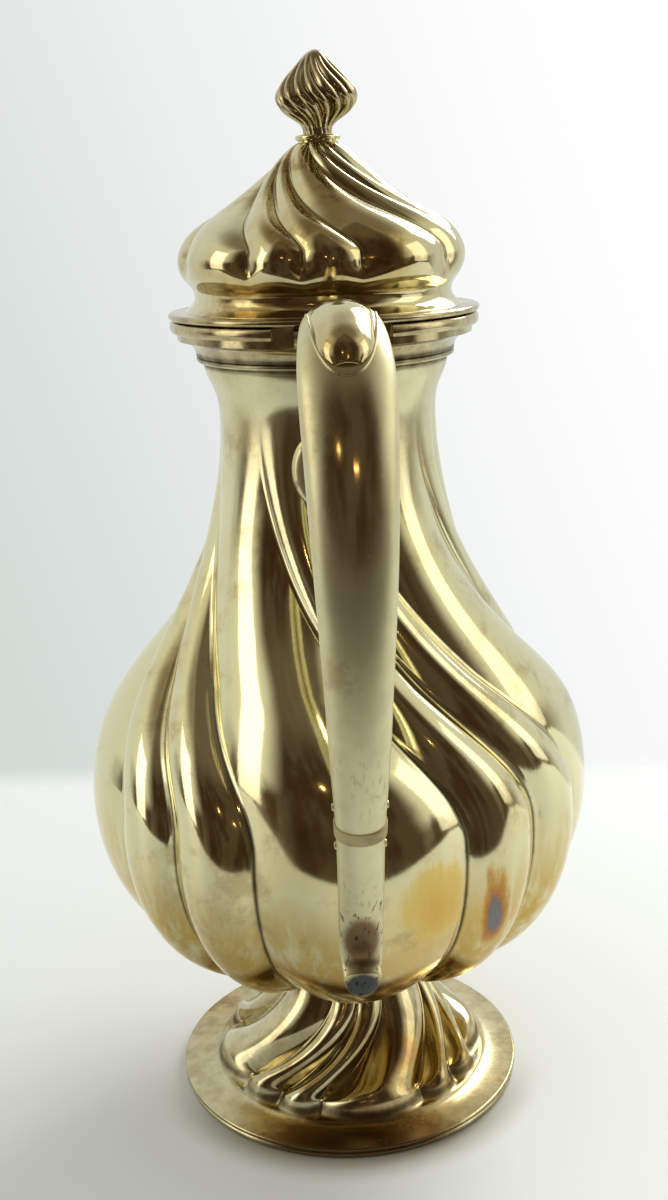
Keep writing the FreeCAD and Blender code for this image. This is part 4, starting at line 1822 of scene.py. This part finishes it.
@dataclass(frozen=True)
class Lamp:
    """A soft lamp: its place and size in metres, how bright its face is and its colour."""

    name: str
    place: tuple[float, float, float]
    size: tuple[float, float]
    glow: float
    colour: Colour

    def hang(self, aim: Vector) -> None:
        """Hang the lamp so that it faces a point.

        Args:
            aim: The point, in metres.
        """
        data = bpy.data.lights.new(self.name, "AREA")
        data.shape = "RECTANGLE"
        data.size, data.size_y = self.size
        data.energy = self.glow * math.pi * self.size[0] * self.size[1]
        data.color = self.colour
        lamp = add_object(self.name, data)
        lamp.location = self.place
        lamp.rotation_mode = "QUATERNION"
        lamp.rotation_quaternion = (aim - Vector(self.place)).to_track_quat("-Z", "Y")


@dataclass
class Studio:
    """A pale table, a pale backdrop, soft lamps, a dim room in front and the camera."""

    distance: float = 330.6
    height: float = 219.8
    pitch: float = 15.93
    roll: float = -2.03
    azimuth: float = -2.7
    focal: float = 1422.0
    image_height: float = 1200.0
    sensor: float = 36.0
    table_front: float = -230.0
    table_back: float = 204.0
    table_half_width: float = 900.0
    table_skew: float = 0.1
    table_fade: float = 26.0
    table_colour: Colour = (0.90, 0.925, 0.90)
    table_roughness: float = 0.55
    # painted contact shadow on the table: its reach round the axis and its colour
    contact_shadow_edge: tuple[float, float] = (0.042, 0.053)
    contact_shadow_colour: Colour = (0.40, 0.38, 0.28)
    paper_left: Colour = (0.62, 0.68, 0.65)
    paper_right: Colour = (1.0, 1.0, 1.0)
    paper_slant: float = 0.35
    paper_edge: tuple[float, float] = (-0.42, 0.30)
    clutter_flat: float = 0.45
    clutter_scale: float = 3.4
    clutter_edge: tuple[float, float] = (0.44, 0.60)
    clutter_in_dark: float = 0.2
    clutter_on_shelf: float = 0.1
    level_least: float = 0.05
    front_edge: tuple[float, float] = (0.38, 0.70)
    back_edge: tuple[float, float] = (0.0, 0.5)
    ceiling_edge: tuple[float, float] = (0.70, 0.95)
    ceiling_lost: float = 0.5
    shelf_edge: tuple[float, float] = (0.06, 0.28)
    room_dark: Colour = (0.050, 0.027, 0.012)
    room_brown: Colour = (0.09, 0.06, 0.032)
    room_side: Colour = (0.27, 0.23, 0.17)
    room_high: Colour = (0.86, 0.85, 0.73)
    room_top: Colour = (0.26, 0.22, 0.16)
    room_back: Colour = (0.80, 0.83, 0.82)
    room_fill: Colour = (0.52, 0.53, 0.52)
    lamp_aim: float = 0.11
    lamps: tuple[Lamp, ...] = (
        Lamp("right_window", (1.0, -0.16, 0.45), (0.45, 0.90), 0.95, (1.0, 0.99, 0.95)),
        Lamp("left_window", (-1.0, -0.22, 0.42), (0.40, 0.90), 1.4, (1.0, 0.99, 0.95)),
        Lamp("back_light", (0.70, 0.80, 0.90), (0.70, 0.60), 8.5, (1.0, 1.0, 1.0)),
        Lamp("left_bulb", (-0.30, -1.20, 0.75), (0.012, 0.012), 220.0, (1.0, 0.60, 0.26)),
        Lamp("right_bulb", (0.16, -1.30, 0.60), (0.010, 0.010), 220.0, (1.0, 0.56, 0.22)),
    )

    def camera(self) -> None:
        """Place the camera as the photograph was taken."""
        data = bpy.data.cameras.new("camera")
        data.sensor_width = self.sensor
        data.lens = self.focal / self.image_height * self.sensor
        data.clip_start = 0.01
        camera = add_object("camera", data)
        turn = math.radians(self.azimuth)
        back = Vector((math.sin(turn), -math.cos(turn), 0.0))
        camera.location = (back * self.distance + Vector((0.0, 0.0, self.height))) * MM
        pitch = math.radians(self.pitch)
        forward = -back * math.cos(pitch) - Vector((0.0, 0.0, math.sin(pitch)))
        roll = Matrix.Rotation(math.radians(self.roll), 3, "Z").to_quaternion()
        camera.rotation_mode = "QUATERNION"
        camera.rotation_quaternion = forward.to_track_quat("-Z", "Y") @ roll
        bpy.context.scene.camera = camera

    def table(self) -> None:
        """Lay the pale table top, with a painted shadow close to the foot's front, and fading out at its far
        edge.
        """
        mesh = bpy.data.meshes.new("table")
        wide = self.table_half_width
        far = self.table_skew * wide
        corners = [
            (-wide, self.table_front, 0.0),
            (wide, self.table_front, 0.0),
            (wide, self.table_back - far, 0.0),
            (-wide, self.table_back + far, 0.0),
        ]
        mesh.from_pydata([Vector(corner) * MM for corner in corners], [], [(0, 1, 2, 3)])
        table = add_object("table", mesh)
        material = bpy.data.materials.new("table_paint")
        graph = start_nodes(material)
        x, y, _ = graph.separate(graph.node("ShaderNodeTexCoord", None, None, "Object"))
        back = self.table_back * MM
        fade = graph.ease(y + x * self.table_skew, back - self.table_fade * MM, back)
        reach = graph.math("SQRT", x * x + y * y)
        # painted shadow: the table darkens in a ring round the foot, on the front side only
        painted_shadow = 1.0 - graph.ease(reach, *self.contact_shadow_edge)
        painted_shadow = painted_shadow * graph.ease(y * -1.0, 0.0, self.contact_shadow_edge[0])
        colour = graph.blend(painted_shadow, rgba(self.table_colour), rgba(self.contact_shadow_colour))
        sockets = {"Base Color": colour, "Roughness": self.table_roughness}
        paint = graph.node("ShaderNodeBsdfPrincipled", None, sockets)
        clear = graph.node("ShaderNodeBsdfTransparent")
        shader = graph.node("ShaderNodeMixShader", None, {0: fade, 1: paint, 2: clear})
        graph.node("ShaderNodeOutputMaterial", None, {"Surface": shader})
        mesh.materials.append(material)

    def world(self) -> None:
        """Set up what rays see: the camera a pale backdrop with painted shade to the lower left, the metal a
        room, the rest an even fill.
        """
        world = bpy.data.worlds.new("room")
        bpy.context.scene.world = world
        graph = start_nodes(world)
        way = graph.node("ShaderNodeTexCoord", None, None, "Generated")
        across, _, up = graph.separate(way)
        camera = graph.node("ShaderNodeLightPath", None, None, "Is Camera Ray")
        # painted shade on the backdrop: darker towards the lower left, white towards the right
        slant = graph.ease(across + up * self.paper_slant, *self.paper_edge)
        paper = graph.blend(slant, rgba(self.paper_left), rgba(self.paper_right))
        lit = graph.blend(camera.other("Is Glossy Ray"), rgba(self.room_fill), self.room(graph, way))
        colour = graph.blend(camera, lit, paper)
        shader = graph.node("ShaderNodeBackground", None, {"Color": colour, "Strength": 1.0})
        graph.node("ShaderNodeOutputWorld", None, {"Surface": shader})

    def room(self, graph: Graph, way: Wire) -> Wire:
        """The room that the metal mirrors: dim in front, bright at the upper sides and at the back.

        Args:
            graph: The world's graph.
            way: The direction that a ray looks in.

        Returns:
            The room's colour.
        """
        across, ahead, up = graph.separate(way)
        flattened = graph.stretched(way, (1.0, 1.0, self.clutter_flat))
        clutter = graph.ease(graph.noise(flattened, self.clutter_scale, 5.0, 0.6), *self.clutter_edge)
        dark = graph.blend(clutter * self.clutter_in_dark, rgba(self.room_dark), rgba(self.room_side))
        side = graph.blend(clutter, rgba(self.room_brown), rgba(self.room_side))
        shelf = graph.ease(up + clutter * self.clutter_on_shelf, *self.shelf_edge)
        side = graph.blend(shelf, side, rgba(self.room_high))
        level = graph.math("MAXIMUM", graph.math("SQRT", across * across + ahead * ahead), self.level_least)
        facing = ahead / level
        front = graph.ease(facing * -1.0, *self.front_edge)
        seen = graph.blend(front, side, dark)
        seen = graph.blend(graph.ease(facing, *self.back_edge), seen, rgba(self.room_back))
        ceiling = graph.ease(up, *self.ceiling_edge) * (1.0 - front * self.ceiling_lost)
        return graph.blend(ceiling, seen, rgba(self.room_top))

    def build(self) -> None:
        """Set up the studio."""
        bpy.context.scene.view_settings.view_transform = "Standard"
        self.camera()
        self.table()
        self.world()
        for lamp in self.lamps:
            lamp.hang(Vector((0.0, 0.0, self.lamp_aim)))


def make_finishes() -> dict[str, bpy.types.Material]:
    """Make every finish of the pot.

    Returns:
        The materials by what they dress.
    """
    flakes = ((0.0, (0.62, 0.33, 0.05)), (0.6, (0.68, 0.46, 0.11)), (1.0, (0.72, 0.56, 0.22)))
    # dark stops for the painted reflections on the flange's front and in the tail's scoop
    dark_reflection_stops = ((0.0, (0.07, 0.035, 0.014)), (1.0, (0.20, 0.11, 0.04)))
    slate = ((0.0, (0.018, 0.040, 0.065)), (0.75, (0.040, 0.050, 0.045)), (1.0, (0.20, 0.16, 0.08)))
    flank = TarnishAndReflection((0.031, -0.0496, 0.064), (0.0034, 0.0052, 0.017), strength=0.85)
    left_flank = TarnishAndReflection((-0.022, -0.054, 0.059), (0.0022, 0.0045, 0.012), strength=0.6)
    foot_patch = TarnishAndReflection((0.014, -0.026, 0.016), (0.008, 0.008, 0.006), strength=0.45)
    golden_patch = TarnishAndReflection((0.018, -0.057, 0.071), (0.011, 0.010, 0.012), 1.8, strength=0.85, stops=flakes)
    # painted dark reflection on the front of the foot's flange
    flange_front_reflection = TarnishAndReflection((0.0, -0.040, 0.003), (0.030, 0.011, 0.006), 1.2, strength=0.85, stops=dark_reflection_stops)
    tail_face = TarnishAndReflection((0.0, -0.0664, 0.0605), (0.0041, 0.0060, 0.0050), 0.25, strength=0.95, stops=slate)
    # painted dark reflection in the scoop of the handle's tail
    tail_scoop_reflection = TarnishAndReflection((0.0, -0.069, 0.0722), (0.0041, 0.012, 0.0085), 0.3, strength=0.92, stops=dark_reflection_stops)
    hand_polish = Patch((0.0, -0.085, 0.1745), (0.0054, 1.0, 0.018), 0.6)
    lobe_polish = Patch((0.0, 0.0, 0.019), (1.0, 1.0, 0.0145), 0.3)
    body_polish = Patch((0.0, 0.0, 0.107), (1.0, 1.0, 0.070), 0.7)
    made = {
        "body": SilverFinish(
            "body_silver",
            gold_low=0.052,
            gold_high=0.090,
            worn_roughness=0.26,
            worn_film=0.3,
            polish=body_polish,
            soil_lines=(0.1838,),
            tarnish_and_reflection_patches=(flank, left_flank, golden_patch),
        ),
        "foot": SilverFinish(
            "foot_silver",
            gold_amount=0.6,
            stain_amount=1.0,
            film=0.5,
            roughness=0.06,
            worn_roughness=0.22,
            polish=lobe_polish,
            soil_lines=(0.0050,),
            # the second patch here is a painted dark reflection on the flange's front
            tarnish_and_reflection_patches=(foot_patch, flange_front_reflection),
        ),
        "lid": SilverFinish("lid_silver", gold_amount=0.65, stain_amount=0.9, film=0.22),
        "finial": SilverFinish(
            "finial_silver", gold_amount=0.4, stain_amount=1.0, film=0.6, roughness=0.12
        ),
        "rim": SilverFinish(
            "rim_silver", gold_amount=0.3, stain_amount=0.8, film=0.65, roughness=0.10, soil_lines=(0.1855,)
        ),
        "strap": SilverFinish(
            "strap_silver",
            gold_amount=0.15,
            stain_amount=0.5,
            film=0.16,
            roughness=0.06,
            worn_roughness=0.34,
            wear=0.7,
            pitting=0.85,
            polish=hand_polish,
            # the first patch here is a painted dark reflection in the tail's scoop
            tarnish_and_reflection_patches=(tail_scoop_reflection, tail_face),
        ),
        "ivory": IvoryFinish("cream_insulator"),
    }
    return {name: finish.build() for name, finish in made.items()}


def main() -> None:
    """Build the pot's sub-assemblies in order, then the studio round them."""
    logging.basicConfig(level=logging.INFO, format="%(message)s")
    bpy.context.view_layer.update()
    shop = Workshop(FlutedTree(), ArmTree(), WireTree(), PinTree(), make_finishes())
    body = Body()
    Foot().build(shop)
    body.build(shop)
    Spout(body).build(shop)
    Mouth(body).build(shop)
    Lid().build(shop)
    Finial().build(shop)
    Handle(body).build(shop)
    SmallFittings().dress(shop)
    Studio().build()


if __name__ == "__main__":
    main()
